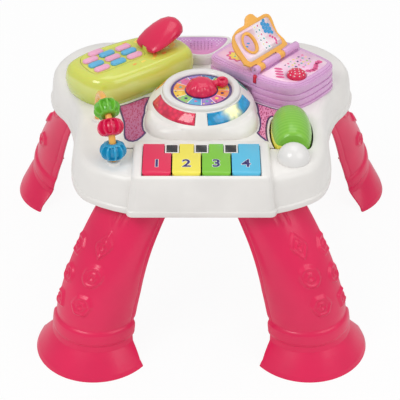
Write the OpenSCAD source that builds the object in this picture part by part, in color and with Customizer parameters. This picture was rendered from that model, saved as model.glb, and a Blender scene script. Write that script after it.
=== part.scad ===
// Musical activity table for toddlers: a white table top on four splayed legs, with a four-key
// keyboard, a dial with light buttons, a telephone, a book with a turning page, a bead arch
// and a spinning roller. Millimetres, +Z up, the front faces -Y, the floor is z = 0.

/* [Table top] */
// Height of the lower rim of the table top above the floor
rim_z = 228; // [200:1:250]
// Depth of the table top from its rim to its deck
top_h = 51; // [46:1:60]
// Half width across the two rear lobes
lobe_half_w = 215; // [210:1:222]
// Half width across the waist
waist_half_w = 174; // [170:1:180]
// Distance of the rear edge behind the origin
rear_len = 171; // [169:1:178]
// Distance of the front edge before the origin
front_len = 195; // [193:1:198]
// Wall thickness of the large mouldings
wall = 3; // [2:0.5:3.5]
// Height of the thick lip around the lower rim
lip_h = 7; // [4:1:10]

/* [Legs] */
// Radius of a foot on the floor
foot_r = 82; // [70:1:85]
// Radius of a leg at its ankle
ankle_r = 54; // [50:1:57]
// Radius of a leg under the table top
leg_top_r = 50.5; // [48:0.5:51.5]
// Wall thickness of a leg
leg_wall = 3; // [2.5:0.5:4]
// Sideways place of the front feet
front_foot_x = 144.5; // [130:1:150]
// Sideways place of the rear feet
rear_foot_x = 204; // [190:1:215]
// Front-to-back place of all four feet
foot_y = 184; // [175:1:195]
// Height of a leg's tenon in its socket
tenon_h = 20; // [12:1:24]

/* [Keyboard] */
// Width of the keyboard box
box_w = 192; // [186:1:200]
// Height of the keyboard box above the deck
box_rise = 8; // [6:1:11]
// Distance from one key's middle to the next
key_pitch = 38; // [36:0.5:40]
// Gap between two keys
key_gap = 1.8; // [1.2:0.1:2.6]
// Length of the visible part of a key
key_len = 67; // [60:1:68]
// Height of a key's body
key_h = 13; // [11:0.5:15]
// How far a key stands above the keyboard box
key_proud = 3; // [2:0.5:4]
// Radius of the steel rod that the keys turn on
key_rod_r = 2; // [1.5:0.25:2.5]

/* [Dial] */
// Radius of the printed disc
disc_r = 41; // [38:0.5:42]
// Radius of the dome where it meets the deck
dome_r = 74; // [73:1:76]
// Height of the dome's flat top above the deck
dome_rise = 31; // [29:1:33]
// Radius of the knob's hub
hub_r = 21; // [18:0.5:24]
// Radius of the knob's spindle
spindle_r = 4; // [3:0.5:5]
// Height of the knob above the printed disc
knob_h = 15; // [12:1:18]
// Height of a light button above the dome's slope
button_proud = 1.2; // [0.8:0.1:1.6]

/* [Telephone] */
// Height of the telephone's case above the deck
phone_h = 41; // [38:1:44]
// Turn of the telephone on the deck
phone_turn = 38.5; // [36:0.5:41]
// Distance between two keys along the telephone
cap_pitch_u = 27.5; // [26:0.5:29]
// Distance between two rows of keys
cap_pitch_v = 13.6; // [13:0.2:15]
// Length of a telephone key
cap_len = 24; // [21:0.5:25]
// Width of a telephone key
cap_w = 11; // [9:0.5:12]
// Height of a telephone key
cap_h = 3.2; // [2:0.2:4]
// Length of the handset
handset_len = 59; // [56:1:64]
// Width of the handset
handset_w = 50; // [44:1:52]
// How far the handset stands open
handset_open = 15; // [10:1:30]

/* [Book] */
// Height of the book's pages above the deck
book_h = 38; // [34:1:42]
// Length of the book's hinge barrel
spine_len = 92; // [88:1:94]
// Radius of the hinge barrel
spine_r = 5.5; // [4.5:0.5:6]
// Radius of the hinge pin
page_pin_r = 1.5; // [1:0.25:2]
// Length of the turning page from the hinge to its edge
page_len = 60; // [54:1:61]
// Thickness of the turning page
page_t = 3; // [2.4:0.2:3.6]
// Width of the orange frame around the page
page_frame_w = 5; // [4:0.5:7]
// How far the page stands up from the left side
page_open = 47; // [30:1:60]

/* [Bead arch] */
// Radius of the arch
arch_r = 52; // [51.5:0.5:54]
// Radius of the rod
rod_r = 4.5; // [4:0.25:5]
// Radius of a bead
bead_r = 17.5; // [16:0.5:18]
// Length of a bead
bead_len = 22; // [18:0.5:22]

/* [Roller] */
// Radius of the roller's barrel
roller_r = 27; // [25:0.5:28]
// Length of the roller's barrel
roller_len = 74; // [70:1:76]
// Radius of the roller's axle
axle_r = 2.5; // [2:0.25:3]
// Wall thickness of the roller's two halves
roller_wall = 2.4; // [2:0.2:3]

/* [Hidden] */

$fn = 48;
far = 200;            // longer than any cut has to be
deck_z = rim_z + top_h;
gap = 0.5;            // clearance around pieces that press or turn
seat_gap = 0.3;       // clearance around pieces that stay put
print_t = 0.6;        // thickness of a printed sheet
board_t = 1.6;        // thickness of a circuit board
screw_r = 1.35;       // radius of a casing screw
screw_head_r = 3.2;
screw_head_h = 2;

// ---- Curves and skins ----

function unit(v) = v / norm(v);
// Moves a closed counter-clockwise outline inwards by d
function inset(pts, d) = let (n = len(pts)) [for (i = [0 : n - 1])
    let (t = unit(pts[(i + 1) % n] - pts[(i + n - 1) % n])) pts[i] + d * [-t[1], t[0]]];
function bend(a, b, c, d, t) = 0.5 * (2 * b + (c - a) * t
    + (2 * a - 5 * b + 4 * c - d) * t * t + (3 * b - a - 3 * c + d) * t * t * t);
// A smooth closed curve through points p, with k steps from one point to the next
function smooth(p, k) = let (n = len(p)) [for (i = [0 : n - 1], j = [0 : k - 1])
    bend(p[(i + n - 1) % n], p[i], p[(i + 1) % n], p[(i + 2) % n], j / k)];
function arc(c, r, a0, a1, k) = [for (i = [0 : k]) let (a = a0 + (a1 - a0) * i / k)
    c + r * [cos(a), sin(a)]];
function round_box(x0, x1, y0, y1, r, k = 5) = concat(arc([x0 + r, y0 + r], r, 180, 270, k),
    arc([x1 - r, y0 + r], r, 270, 360, k), arc([x1 - r, y1 - r], r, 0, 90, k),
        arc([x0 + r, y1 - r], r, 90, 180, k));
function at_height(pts, z) = [for (p = pts) [p[0], p[1], z]];
// Skins a stack of rings that all have the same number of points
module skin(rings, strip = false) {
    n = len(rings[0]);
    m = len(rings);
    // A strip is closed by quads that join each point to the one across from it
    start = strip ? [for (i = [0 : n / 2 - 2]) [i, i + 1, n - 2 - i, n - 1 - i]] : [[for (i = [0 : n - 1]) i]];
    polyhedron(
        points = [for (r = rings, p = r) p],
        faces = concat(start,
            [for (k = [0 : m - 2], i = [0 : n - 1], h = [0, 1]) let (j = (i + 1) % n)
                h == 0 ? [k * n + i, (k + 1) * n + i, (k + 1) * n + j] : [k * n + i, (k + 1) * n + j,
                    k * n + j]],
            [for (f = start) [for (i = [len(f) - 1 : -1 : 0]) (m - 1) * n + f[i]]]));
}
// Stands a flat outline up, so that its x runs along Y and its y along Z, and it is drawn out along X
module along_x(x0, x1) translate([x0, 0, 0]) rotate([90, 0, 90]) linear_extrude(x1 - x0) children();
module sector(r0, r1, a0, a1, z0, z1) rotate([0, 0, a0]) rotate_extrude(angle = a1 - a0, $fn = 72)
    translate([r0, z0]) square([r1 - r0, z1 - z0]);

// ---- Table top ----

rim_half = [[0, -front_len], [60, -front_len], [98, -front_len + 1], [waist_half_w - 31, -front_len + 22],
    [waist_half_w - 12, -front_len + 44], [waist_half_w - 2, -front_len + 78], [waist_half_w, -80],
    [waist_half_w + 1, -31], [waist_half_w + 13, 14], [lobe_half_w - 11, 42], [lobe_half_w - 2, 66],
    [lobe_half_w, 88], [lobe_half_w - 8, 115], [lobe_half_w - 28, rear_len - 27],
    [lobe_half_w - 55, rear_len - 8], [lobe_half_w - 90, rear_len - 1], [0, rear_len]];
rim_steps = 3;
rim_other_half = [for (i = [len(rim_half) - 2 : -1 : 1]) [-rim_half[i][0], rim_half[i][1]]];
rim_outline = smooth(concat(rim_half, rim_other_half), rim_steps);
lip_step = 2.2;       // how far the wall stands behind the lip
// Height over the deck and inset of each ring of the outer and the inner surface
outer_rings = [[rim_z, 0], [rim_z + lip_h, 0], [rim_z + lip_h + 1.5, lip_step], [deck_z - 17, 5],
    [deck_z - 8, 7], [deck_z - 2.5, 10.5], [deck_z, 16]];
inner_rings = [[rim_z - 2, lip_step + wall], [deck_z - 17, 5 + wall], [deck_z - 9, 7 + wall],
    [deck_z - 2 - wall, 10.5 + wall], [deck_z - wall, 15 + wall]];

box_z = deck_z + box_rise;
box_front_y = -(front_len + 8);
key_front_y = box_front_y + 10;
key_rear_y = key_front_y + key_len;
box_rear_y = key_rear_y + 14;
box_corner = 9;
// Height, side inset, front inset and rear inset of the keyboard box's rings
box_rings = [[rim_z, -1, 0, 0], [rim_z + lip_h, -1, 0, 0], [rim_z + lip_h + 1.5, 1, 1.5, 0],
    [box_z - 5, 7, 3, 0], [box_z - 1.5, 8.5, 4, 1], [box_z, 11, 6.5, 3.5]];
box_inner_rings = [[rim_z - 3, 2 + wall, 1.5 + wall, wall], [box_z - 6, 7 + wall, 3 + wall, wall],
    [box_z - wall, 8.5 + wall, 4 + wall, wall + 1]];
function box_ring(g) = at_height(round_box(-box_w / 2 + g[1], box_w / 2 - g[1],
    box_front_y + g[2], box_rear_y - g[3], box_corner), g[0]);

tab_w = 18;
tab_len = 20;
tab_rise = 2.4;
insert_w = 14.5;
insert_len = 16.5;
insert_sunk = 1;
insert_y = key_rear_y - tab_len + 1.7;
key_w = key_pitch - key_gap;
keys_half_w = 2 * key_pitch - key_gap / 2;
key_top = box_z + key_proud;
key_bottom = key_top - key_h;
rod_y = key_rear_y + 6;
rod_z = box_z - wall - 6.5;
hanger_t = 4;
hanger_half = 5;      // half depth of a hanger around the rod
well_gap = 1;         // clearance between the keys and the edge of their opening
hanger_x = [-keys_half_w - hanger_t, -key_pitch, 0, key_pitch, keys_half_w + hanger_t];

// Casing screws, and the hollow posts that they go into
screw_at = [for (s = [-1, 1]) each
    [[s * (waist_half_w - 16), -62], [s * (waist_half_w - 8), 30], [s * 62, rear_len - 24]]];
post_r = 5;
post_foot_z = rim_z + wall;

dome_at = [0, box_rear_y + 10 + dome_r];
arch_at = [-(box_w / 2 + 29.6), dome_at[1] - 73.5];
arch_turn = -76;      // direction of the arch's front foot from its middle
arch_z = deck_z + 11;
socket_r = 9;
socket_h = 3.5;
function arch_foot(s) = arch_at + s * arch_r * [cos(arch_turn), sin(arch_turn)];

dial_hole_r = 58;
speaker_at = [0, rear_len - 48];
speaker_r = 21;

roller_x = box_w / 2 + 23;
roller_front_y = dome_at[1] - 93;
roller_z = deck_z + 1;
roller_gap = 2;
cap_r = 21.6;
cap_y = roller_front_y - cap_r - 1;
bearing_t = 8;
roller_rear_y = roller_front_y + roller_len;
roller_end_r = 19.5;
// Radius along the barrel, from its front end at t = -1 to its rear end at t = 1
function barrel_r(t) = roller_end_r + (roller_r - roller_end_r) * pow(1 - t * t, 0.6);
barrel_t = [-1, -0.9, -0.75, -0.5, -0.25, 0, 0.25, 0.5, 0.75, 0.9, 1];
// The barrel's outline seen from above, widened by d
function roller_side(s, d) = [for (t = barrel_t)
    [s * (barrel_r(t) + d), roller_front_y + roller_len / 2 + t * (roller_len + d) / 2]];
function roller_slot(d) = let (left = roller_side(-1, d), n = len(left))
    concat(roller_side(1, d), [for (i = [n - 1 : -1 : 0]) left[i]]);

module top_shell() color("white") difference() {
    union() {
        difference() {
            union() {
                skin([for (g = outer_rings) at_height(inset(rim_outline, g[1]), g[0])]);
                skin([for (g = box_rings) box_ring(g)]);
            }
            skin([for (g = inner_rings) at_height(inset(rim_outline, g[1]), g[0])]);
            skin([for (g = box_inner_rings) box_ring(g)]);
            translate([-keys_half_w - well_gap, key_front_y - well_gap, box_z - wall - 1])
                cube([2 * (keys_half_w + well_gap), key_len + well_gap + gap, wall + 2]);
        }
        for (k = [-1 : 1]) translate([k * key_pitch - tab_w / 2, key_rear_y - tab_len, box_z - wall])
            cube([tab_w, tab_len + 2, wall + tab_rise]);
        for (x = hanger_x) translate([x - hanger_t / 2, rod_y - hanger_half, rod_z - hanger_half])
            cube([hanger_t, 2 * hanger_half, box_z - wall - rod_z + hanger_half + 0.2]);
        for (p = screw_at) translate([p[0], p[1], post_foot_z])
            cylinder(r = post_r, h = deck_z - wall - post_foot_z + 0.2);
        for (s = [-1, 1]) translate([arch_foot(s)[0], arch_foot(s)[1], deck_z - 8])
            cylinder(r = socket_r, h = 8 + socket_h);  // reaches through the deck
    }
    for (k = [-1 : 1]) translate([k * key_pitch - insert_w / 2, insert_y, box_z + tab_rise - insert_sunk])
        cube([insert_w, insert_len, 2]);
    translate([-far / 2, rod_y, rod_z]) rotate([0, 90, 0]) cylinder(r = key_rod_r + 0.05, h = far);
    for (p = screw_at) translate([p[0], p[1], post_foot_z - 1]) cylinder(r = screw_r + 0.05, h = 14);
    for (s = [-1, 1]) translate([arch_foot(s)[0], arch_foot(s)[1], deck_z - 6])
        cylinder(r = rod_r + 0.1, h = far);
    translate([dome_at[0], dome_at[1], deck_z - wall - 1])
        cylinder(r = dial_hole_r, h = wall + 2, $fn = 72);
    translate([speaker_at[0], speaker_at[1], deck_z - wall - 1]) cylinder(r = speaker_r - 3, h = wall + 2);
    translate([roller_x, 0, deck_z - wall - 6]) linear_extrude(wall + 7) polygon(roller_slot(roller_gap));
    // clearance for the axle between the slot and its two bearings
    translate([roller_x, axle_front_y - 1, roller_z]) rotate([-90, 0, 0])
        cylinder(r = axle_r + 0.6, h = roller_rear_y + bearing_t + 3 - axle_front_y);
}

module black_key_inserts() color("dimgray") for (k = [-1 : 1])
    translate([k * key_pitch - insert_w / 2 + seat_gap, insert_y + seat_gap,
        box_z + tab_rise - insert_sunk])
        cube([insert_w - 2 * seat_gap, insert_len - 2 * seat_gap, insert_sunk + 0.5]);

module key_rod() color("silver") translate([-keys_half_w - 1.5 * hanger_t, rod_y, rod_z])
    rotate([0, 90, 0]) cylinder(r = key_rod_r, h = 2 * keys_half_w + 3 * hanger_t);

key_swing = 3.5;
key_round = 5;
key_corner = 4.5;     // radius of a key's front corners
key_wall = 2.2;
arm_w = 12;
arm_r = 4;
plunger_y = key_front_y + 20;
plunger_z = key_bottom - 1.5;
plunger_r = 4;
tab_gap = 0.8;        // clearance between a key and the tabs beside it
key_profile = concat([[key_rear_y, key_top], [key_rear_y, key_bottom], [key_front_y, key_bottom]],
    arc([key_front_y + key_round, key_top - key_round], key_round, 180, 90, 6));
// One piano key; notch says which of its rear corners make room for a tab
module key(i, notch) {
    x = (i - 1.5) * key_pitch;
    slot = (tab_w - key_gap) / 2 + tab_gap;
    hollow_len = key_len - tab_len - 3 - 2 * key_wall;
    difference() {
        union() {
            difference() {
                intersection() {
                    along_x(x - key_w / 2, x + key_w / 2) polygon(key_profile);
                    translate([0, 0, key_bottom - 1]) linear_extrude(key_h + 2)
                        polygon(round_box(x - key_w / 2, x + key_w / 2, key_front_y, key_rear_y + 20,
                            key_corner));
                }
                translate([x - key_w / 2 + key_wall, key_front_y + key_wall, key_bottom - 1])
                    cube([key_w - 2 * key_wall, hollow_len, key_h - key_wall]);
                for (s = notch)
                    translate([s > 0 ? x + key_w / 2 - slot : x - key_w / 2 - 1,
                        key_rear_y - tab_len - tab_gap, key_bottom - 1])
                        cube([slot + 1, tab_len + 2, key_h + 2]);
            }
            translate([x, plunger_y, plunger_z]) cylinder(r = plunger_r,
                h = key_top - key_wall - plunger_z);
            translate([x - arm_w / 2, key_rear_y - 3, rod_z - arm_r])
                cube([arm_w, rod_y + arm_r - key_rear_y + 3, 2 * arm_r]);
        }
        translate([x - far / 2, rod_y, rod_z]) rotate([0, 90, 0]) cylinder(r = key_rod_r + 0.08, h = far);
    }
}
module key_red() color("crimson") key(0, [1]);
module key_yellow() color("khaki") key(1, [-1, 1]);
module key_green() color("limegreen") key(2, [-1, 1]);
module key_blue() color("skyblue") key(3, [-1]);

board_z = rod_z - 18;
board_half_w = 72;
board_front_y = key_front_y + 6;
board_len = 50;
mat_t = 1.5;
key_travel = (rod_y - plunger_y) * tan(key_swing);
board_post_at = [for (s = [-1, 1]) each [[s * 66, board_front_y + 5],
    [s * 48, board_front_y + board_len - 5]]];
module main_board() color("seagreen") difference() {
    translate([-board_half_w, board_front_y, board_z]) cube([2 * board_half_w, board_len, board_t]);
    for (p = board_post_at) translate([p[0], p[1], board_z - 1]) cylinder(r = screw_r, h = 4);
}
module key_contact_mat() color("gainsboro") {
    translate([-keys_half_w + 6, plunger_y - 8, board_z + board_t]) cube([2 * keys_half_w - 12, 16, mat_t]);
    for (i = [0 : 3]) translate([(i - 1.5) * key_pitch, plunger_y, board_z + board_t + mat_t])
        cylinder(r = 5, h = plunger_z - key_travel - seat_gap - board_z - board_t - mat_t);
}

// ---- Bottom cover, legs and power ----

front_top = [75, 71 - front_len];
rear_top = [134, 106];
// Directions of the two long edges of a right leg, seen from its axis
front_ends = [-144, -12];
rear_ends = [-57, 55];
rear_foot_far_end = 77;
tenon_clear = 0.3;
tenon_step = 0.5;      // how far a tenon is set in from both faces of its leg
collar_t = 3;
collar_h = 16;
slot_in_r = leg_top_r - leg_wall - tenon_clear;
slot_out_r = leg_top_r + tenon_clear;
cover_gap = 0.7;        // clearance between the bottom cover and the sloping walls
cover_inset = lip_step + wall + cover_gap;
battery_at = [0, 45];
battery_box = [64, 52, 19];
battery_r = 7.1;
battery_len = 50.4;
battery_pitch = 15.4;
switch_at = [60, 45];

function leg_ends(sx, e) = sx > 0 ? e : [180 - e[1], 180 - e[0]];
module leg_sector(sx, top, e, r0, r1, z0, z1) translate([sx * top[0], top[1], 0])
    sector(r0, r1, leg_ends(sx, e)[0], leg_ends(sx, e)[1], z0, z1);
module at_all_legs(r0, r1, margin, z0, z1) for (sx = [-1, 1]) {
    leg_sector(sx, front_top, front_ends + [-margin, margin], r0, r1, z0, z1);
    leg_sector(sx, rear_top, rear_ends + [-margin, margin], r0, r1, z0, z1);
}
module rounded_plate(c, size, r, z, t) translate([c[0], c[1], z]) linear_extrude(t)
    polygon(round_box(-size[0] / 2, size[0] / 2, -size[1] / 2, size[1] / 2, r));

module bottom_cover() color("whitesmoke") difference() {
    union() {
        translate([0, 0, rim_z]) linear_extrude(wall) union() {
            polygon(inset(rim_outline, cover_inset));
            polygon(round_box(-box_w / 2 + 2 + wall + cover_gap, box_w / 2 - 2 - wall - cover_gap,
                box_front_y + 1.5 + wall + cover_gap, box_rear_y, box_corner));
        }
        at_all_legs(slot_in_r - collar_t, slot_out_r + collar_t, 0, rim_z + wall - 0.5,
            rim_z + wall + collar_h);
        for (p = board_post_at) translate([p[0], p[1], rim_z + 1]) cylinder(r = 4, h = board_z - rim_z - 1);
        rounded_plate(battery_at, [battery_box[0] + 4, battery_box[1] + 4], 4, rim_z, battery_box[2] + 4);
        translate([switch_at[0] - 12, switch_at[1] - 7, rim_z]) cube([24, 14, 8]);
    }
    at_all_legs(slot_in_r, slot_out_r, 0.5, rim_z - 1, rim_z + wall + collar_h + 1);
    for (p = screw_at) translate([p[0], p[1], rim_z - 1]) {
        cylinder(r = screw_r + 0.35, h = wall + 2);
        cylinder(r = screw_head_r + seat_gap, h = 1 + screw_head_h);
    }
    for (p = board_post_at) translate([p[0], p[1], board_z - 10]) cylinder(r = screw_r - 0.3, h = 11);
    rounded_plate(battery_at, [battery_box[0], battery_box[1]], 2, rim_z - 1, battery_box[2] + 3);
    translate([battery_at[0] - 8, battery_at[1] + battery_box[1] / 2 - 1, rim_z - 1]) cube([16, 6, 3.4]);
    // slot and pocket of the power switch
    translate([switch_at[0] - 7, switch_at[1] - 3, rim_z - 1]) cube([14, 6, 10]);
    translate([switch_at[0] - 10, switch_at[1] - 5, rim_z + 2]) cube([20, 10, 10]);
}

door_t = 2.4;
module battery_door() color("whitesmoke") difference() {
    union() {
        rounded_plate(battery_at, [battery_box[0] - 2 * seat_gap, battery_box[1] - 2 * seat_gap], 2,
            rim_z, door_t);
        translate([battery_at[0] - 8 + seat_gap, battery_at[1] + battery_box[1] / 2 - 2, rim_z])
            cube([16 - 2 * seat_gap, 6, door_t - 0.2]);
    }
    translate([battery_at[0], battery_at[1] - battery_box[1] / 2 + 5, rim_z - 1])
        cylinder(r = screw_r + 0.35, h = 5);
}
module battery_door_screw() color("silver")
    translate([battery_at[0], battery_at[1] - battery_box[1] / 2 + 5, rim_z - 1.2]) {
        cylinder(r = screw_head_r - 0.4, h = 1.2);
        cylinder(r = screw_r, h = 7);
    }
battery_z = rim_z + battery_box[2] - battery_r + 1.4;
module batteries() color("goldenrod") for (k = [-1 : 1]) {
    s = k == 0 ? -1 : 1;
    translate([battery_at[0] - battery_len / 2 * s, battery_at[1] + k * battery_pitch, battery_z])
        rotate([0, 90 * s, 0]) cylinder(r = battery_r, h = battery_len - 1.2);
    translate([battery_at[0] + (battery_len / 2 - 1.3) * s, battery_at[1] + k * battery_pitch, battery_z])
        rotate([0, 90 * s, 0]) cylinder(r = 2.6, h = 1.3);
}
module battery_contacts() color("silver") for (sx = [-1, 1], k = [-1 : 1])
    translate([battery_at[0] + sx * (battery_box[0] / 2 - 0.4) - 0.4,
        battery_at[1] + k * battery_pitch - 5, battery_z - 6])
        cube([0.8, 10, 12]);
module power_switch() color("dimgray") {
    translate([switch_at[0] - 9.5, switch_at[1] - 4.5, rim_z + 2.3]) cube([13, 9, 2]);
    translate([switch_at[0] - 6.3, switch_at[1] - 2.5, rim_z - 2]) cube([6, 5, 5]);
}
module casing_screws() color("silver") for (p = screw_at) translate([p[0], p[1], rim_z + 0.2]) {
    cylinder(r = screw_head_r, h = screw_head_h - 0.2);
    cylinder(r = screw_r, h = wall + 11);
}

band_low = 43;        // lower edge of the ankle band
band_high = 64;
band_step = 3.2;      // how far the band stands proud
front_bow = 2.3;      // how strongly a leg curves towards the vertical near the floor
rear_bow = 1.9;
rear_tilt = 0.36;     // slope of a rear leg's ankle band
front_tilt = 0.06;
front_wrap = 12;       // how far round the inner edges reach at the ankle
rear_wrap = 7;
front_foot_far_end = 24;  // how far round a front leg's foot reaches
// The rear feet stand a little farther out, so that all four reach equally far from the middle
rear_foot_y = foot_y + foot_r * (1 - sin(rear_foot_far_end));
// Height, radius and share of the tilt of a leg's sections from the floor up
leg_sections = [[0, foot_r, 0], [5, foot_r - 2.5, 0.1], [14, foot_r - 9.5, 0.35], [24, foot_r - 16, 0.65],
    [34, ankle_r + 5, 0.9], [band_low - 1.5, ankle_r + 3.4, 1], [band_low, ankle_r + band_step + 1.6, 1],
    [band_high - 2, ankle_r + band_step + 0.6, 1], [band_high, ankle_r - 0.2, 1], [95, ankle_r - 1, 0.75],
    [130, (ankle_r + leg_top_r) / 2, 0.35], [170, leg_top_r + 0.6, 0], [205, leg_top_r, 0],
    [rim_z, leg_top_r, 0]];
// Share of the extra reach round at the inner edge, which is widest at the ankle
function wrap_at(z) = min(1, max(0, (z - 8) / 47)) * min(1, max(0, (215 - z) / 145));
// Two arcs around c between directions e, lifted by the slope on the side that lies towards up
function leg_ring(c, e, r, d, z, slope, up, k = 12) = [for (a = concat(
    [for (i = [0 : k]) [e[0] + (e[1] - e[0]) * i / k, r - d]],
    [for (i = [0 : k]) [e[1] - (e[1] - e[0]) * i / k, r - leg_wall + d]]))
    [c[0] + a[1] * cos(a[0]), c[1] + a[1] * sin(a[0]), z + slope * a[1] * cos(a[0] - up)]];
module leg(sx, foot, top, e, foot_extra, wrap, tilt, bow) color("crimson") {
    lean = foot - top;
    up = atan2(lean[1], sx * lean[0]);
    skin(concat([for (g = leg_sections) let (t = pow(g[0] / rim_z, bow),
        extra = foot_extra * max(0, 1 - g[0] / 95))
        leg_ring([sx * (foot[0] - lean[0] * t), foot[1] - lean[1] * t],
            leg_ends(sx, [e[0] - wrap * wrap_at(g[0]), e[1] + extra]), g[1], 0, g[0], tilt * g[2], up)],
        [for (z = [rim_z, rim_z + tenon_h])
            leg_ring([sx * top[0], top[1]], leg_ends(sx, e + [1, -1]), leg_top_r, tenon_step, z, 0, up)]),
        strip = true);
}
module front_leg(sx) leg(sx, [front_foot_x, -foot_y], front_top, front_ends,
    front_foot_far_end - front_ends[1], front_wrap, front_tilt, front_bow);
module rear_leg(sx) leg(sx, [rear_foot_x, rear_foot_y], rear_top, rear_ends,
    rear_foot_far_end - rear_ends[1], rear_wrap, rear_tilt, rear_bow);
module leg_front_left() front_leg(-1);
module leg_front_right() front_leg(1);
module leg_rear_left() rear_leg(-1);
module leg_rear_right() rear_leg(1);

// ---- Dial and light buttons ----

dome_wall = 2.8;
cone_top_r = 54;
cone_foot_r = 67.5;
cone_drop = 14;
button_in_r = 55.2;
button_out_r = 66;
button_travel = 2.5;
dome_z = deck_z + dome_rise;
dial_board_z = deck_z + 4;
dial_board_r = 65;
bezel_in_r = disc_r + seat_gap;
bezel_out_r = cone_top_r - 1.5;
bezel_h = 5;
pillar_r = 3.5;
// First and last angle of each light button around the dial
red_arc = [188, 262];
blue_arc = [278, 352];
teal_arc = [18, 72];
amber_arc = [108, 162];
slot_low = 9.7;        // where the slots of the light buttons start, inside the dome
skirt_corner = 36;
// Height over the deck and inset of the skirt with its two front lobes
skirt_rings = [[0, 0], [5, 0.8], [10, 3.5], [14, 8.5]];
function cone_z(r) = dome_rise - cone_drop * (r - cone_top_r) / (cone_foot_r - cone_top_r);
function skirt_ring(g, d) = at_height(round_box(-dome_r - 2 + g[1] + d, dome_r + 2 - g[1] - d,
    -dome_r + 1.3 + g[1] + d, dome_r * 0.2 - g[1] - d, skirt_corner - g[1] / 2 - d), g[0]);
module at_dome() translate([dome_at[0], dome_at[1], deck_z]) children();

module dome_housing() color("white") at_dome() difference() {
    union() {
        difference() {
            union() {
                rotate_extrude($fn = 96) polygon([[0, 0], [dome_r, 0], [dome_r - 0.8, 8],
                    [dome_r - 3, 13.5],
                    [cone_foot_r + 0.6, 16.5], [cone_foot_r, dome_rise - cone_drop],
                        [cone_top_r, dome_rise], [0, dome_rise]]);
                skin([for (g = skirt_rings) skirt_ring(g, 0)]);
            }
            rotate_extrude($fn = 96) polygon([[0, -1], [dome_r - dome_wall, -1],
                [dome_r - dome_wall - 1, 8],
                [cone_foot_r - dome_wall - 1, 15], [cone_top_r - 1.5, dome_rise - dome_wall],
                    [0, dome_rise - dome_wall]]);
            skin([for (g = [[-1, 0], [5, 0.8], [10 - 1, 3.5 + 1]]) skirt_ring(g, dome_wall)]);
        }
        for (a = [90, 210, 330]) rotate([0, 0, a]) translate([36, 0, dial_board_z - deck_z + board_t])
            cylinder(r = pillar_r, h = dome_rise - dome_wall - dial_board_z + deck_z - board_t + 0.3);
    }
    translate([0, 0, dome_rise - dome_wall - 1]) cylinder(r = spindle_r + 0.06, h = dome_wall + 2);
    for (b = [red_arc, blue_arc, teal_arc, amber_arc])
        sector(button_in_r - gap, button_out_r + gap, b[0] - 0.6, b[1] + 0.6, slot_low, dome_rise + 5);
}
module light_button(b) at_dome() {
    rotate([0, 0, b[0]]) rotate_extrude(angle = b[1] - b[0], $fn = 72) polygon([
        [button_in_r, cone_z(button_in_r) - 7], [button_out_r, cone_z(button_out_r) - 5],
        [button_out_r, cone_z(button_out_r) + button_proud - 0.8],
            [button_out_r - 0.9, cone_z(button_out_r - 0.9) + button_proud],
        [button_in_r + 0.9, cone_z(button_in_r + 0.9) + button_proud],
            [button_in_r, cone_z(button_in_r) + button_proud - 0.8]]);
    rotate([0, 0, (b[0] + b[1]) / 2]) translate([(button_in_r + button_out_r) / 2, 0,
        4 + board_t + button_travel + seat_gap])
        cylinder(r = 3, h = cone_z(button_out_r) - 4 - board_t - button_travel);
}
module light_button_red() color("crimson") light_button(red_arc);
module light_button_blue() color("deepskyblue") light_button(blue_arc);
module light_button_amber() color("orange") light_button(amber_arc);
module light_button_teal() color("mediumseagreen") light_button(teal_arc);

module dial_board() color("seagreen") translate([dome_at[0], dome_at[1], dial_board_z]) {
    difference() {
        cylinder(r = dial_board_r, h = board_t);
        translate([0, 0, -1]) cylinder(r = spindle_r + 4, h = 4);
    }
    // one lamp at each end of every light button
    for (b = [red_arc, blue_arc, teal_arc, amber_arc], a = [b[0] + 14, b[1] - 14])
        rotate([0, 0, a]) translate([60, 0, board_t - 0.2]) cylinder(r = 2, h = 2.8);
}
module dial_bezel() color("white") translate([dome_at[0], dome_at[1], dome_z]) rotate_extrude($fn = 96)
    polygon([[bezel_in_r, 0], [bezel_out_r, 0], [bezel_out_r, bezel_h - 2.5],
        [bezel_out_r - 1.2, bezel_h - 0.6],
        [bezel_out_r - 3.4, bezel_h], [bezel_in_r + 3, bezel_h - 0.4], [bezel_in_r + 0.8, bezel_h - 2.2],
            [bezel_in_r, bezel_h - 3.4]]);
disc_t = 1.2;
module dial_disc() color("mediumpurple") translate([dome_at[0], dome_at[1], dome_z]) difference() {
    cylinder(r = disc_r, h = disc_t, $fn = 96);
    translate([0, 0, -1]) cylinder(r = spindle_r + 0.4, h = 4);
}
knob_z = dome_z + disc_t + gap;
knob_arm_at = 21;     // direction of the knob's arm
knob_arm_len = 30;
knob_grip_r = 8.5;
module dial_knob() color("crimson") translate([dome_at[0], dome_at[1], knob_z]) {
    difference() {
        rotate_extrude() polygon([[0, 0], [hub_r, 0], [hub_r, 2.5], [hub_r - 1, 6.5],
            [hub_r - 4, knob_h - 4.5],
            [hub_r - 8, knob_h - 2], [hub_r - 13, knob_h - 0.5], [0, knob_h]]);
        translate([0, 0, -1]) cylinder(r = spindle_r + 0.02, h = knob_h * 0.6 + 1);
    }
    rotate([0, 0, knob_arm_at]) difference() {
        union() {
            translate([hub_r - 5, -4.5, 0]) cube([knob_arm_len - hub_r, 9, knob_h * 0.62]);
            translate([knob_arm_len, 0, 0]) rotate_extrude()
                polygon([[0, 0], [knob_grip_r - 1, 0], [knob_grip_r, 1.5],
                [knob_grip_r, knob_h * 0.6], [knob_grip_r - 1.5, knob_h * 0.6 + 1.8],
                    [0, knob_h * 0.6 + 1.8]]);
        }
        translate([knob_arm_len, 0, knob_h * 0.6 - 1]) cylinder(r = knob_grip_r - 3.5, h = 5);
    }
}
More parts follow.
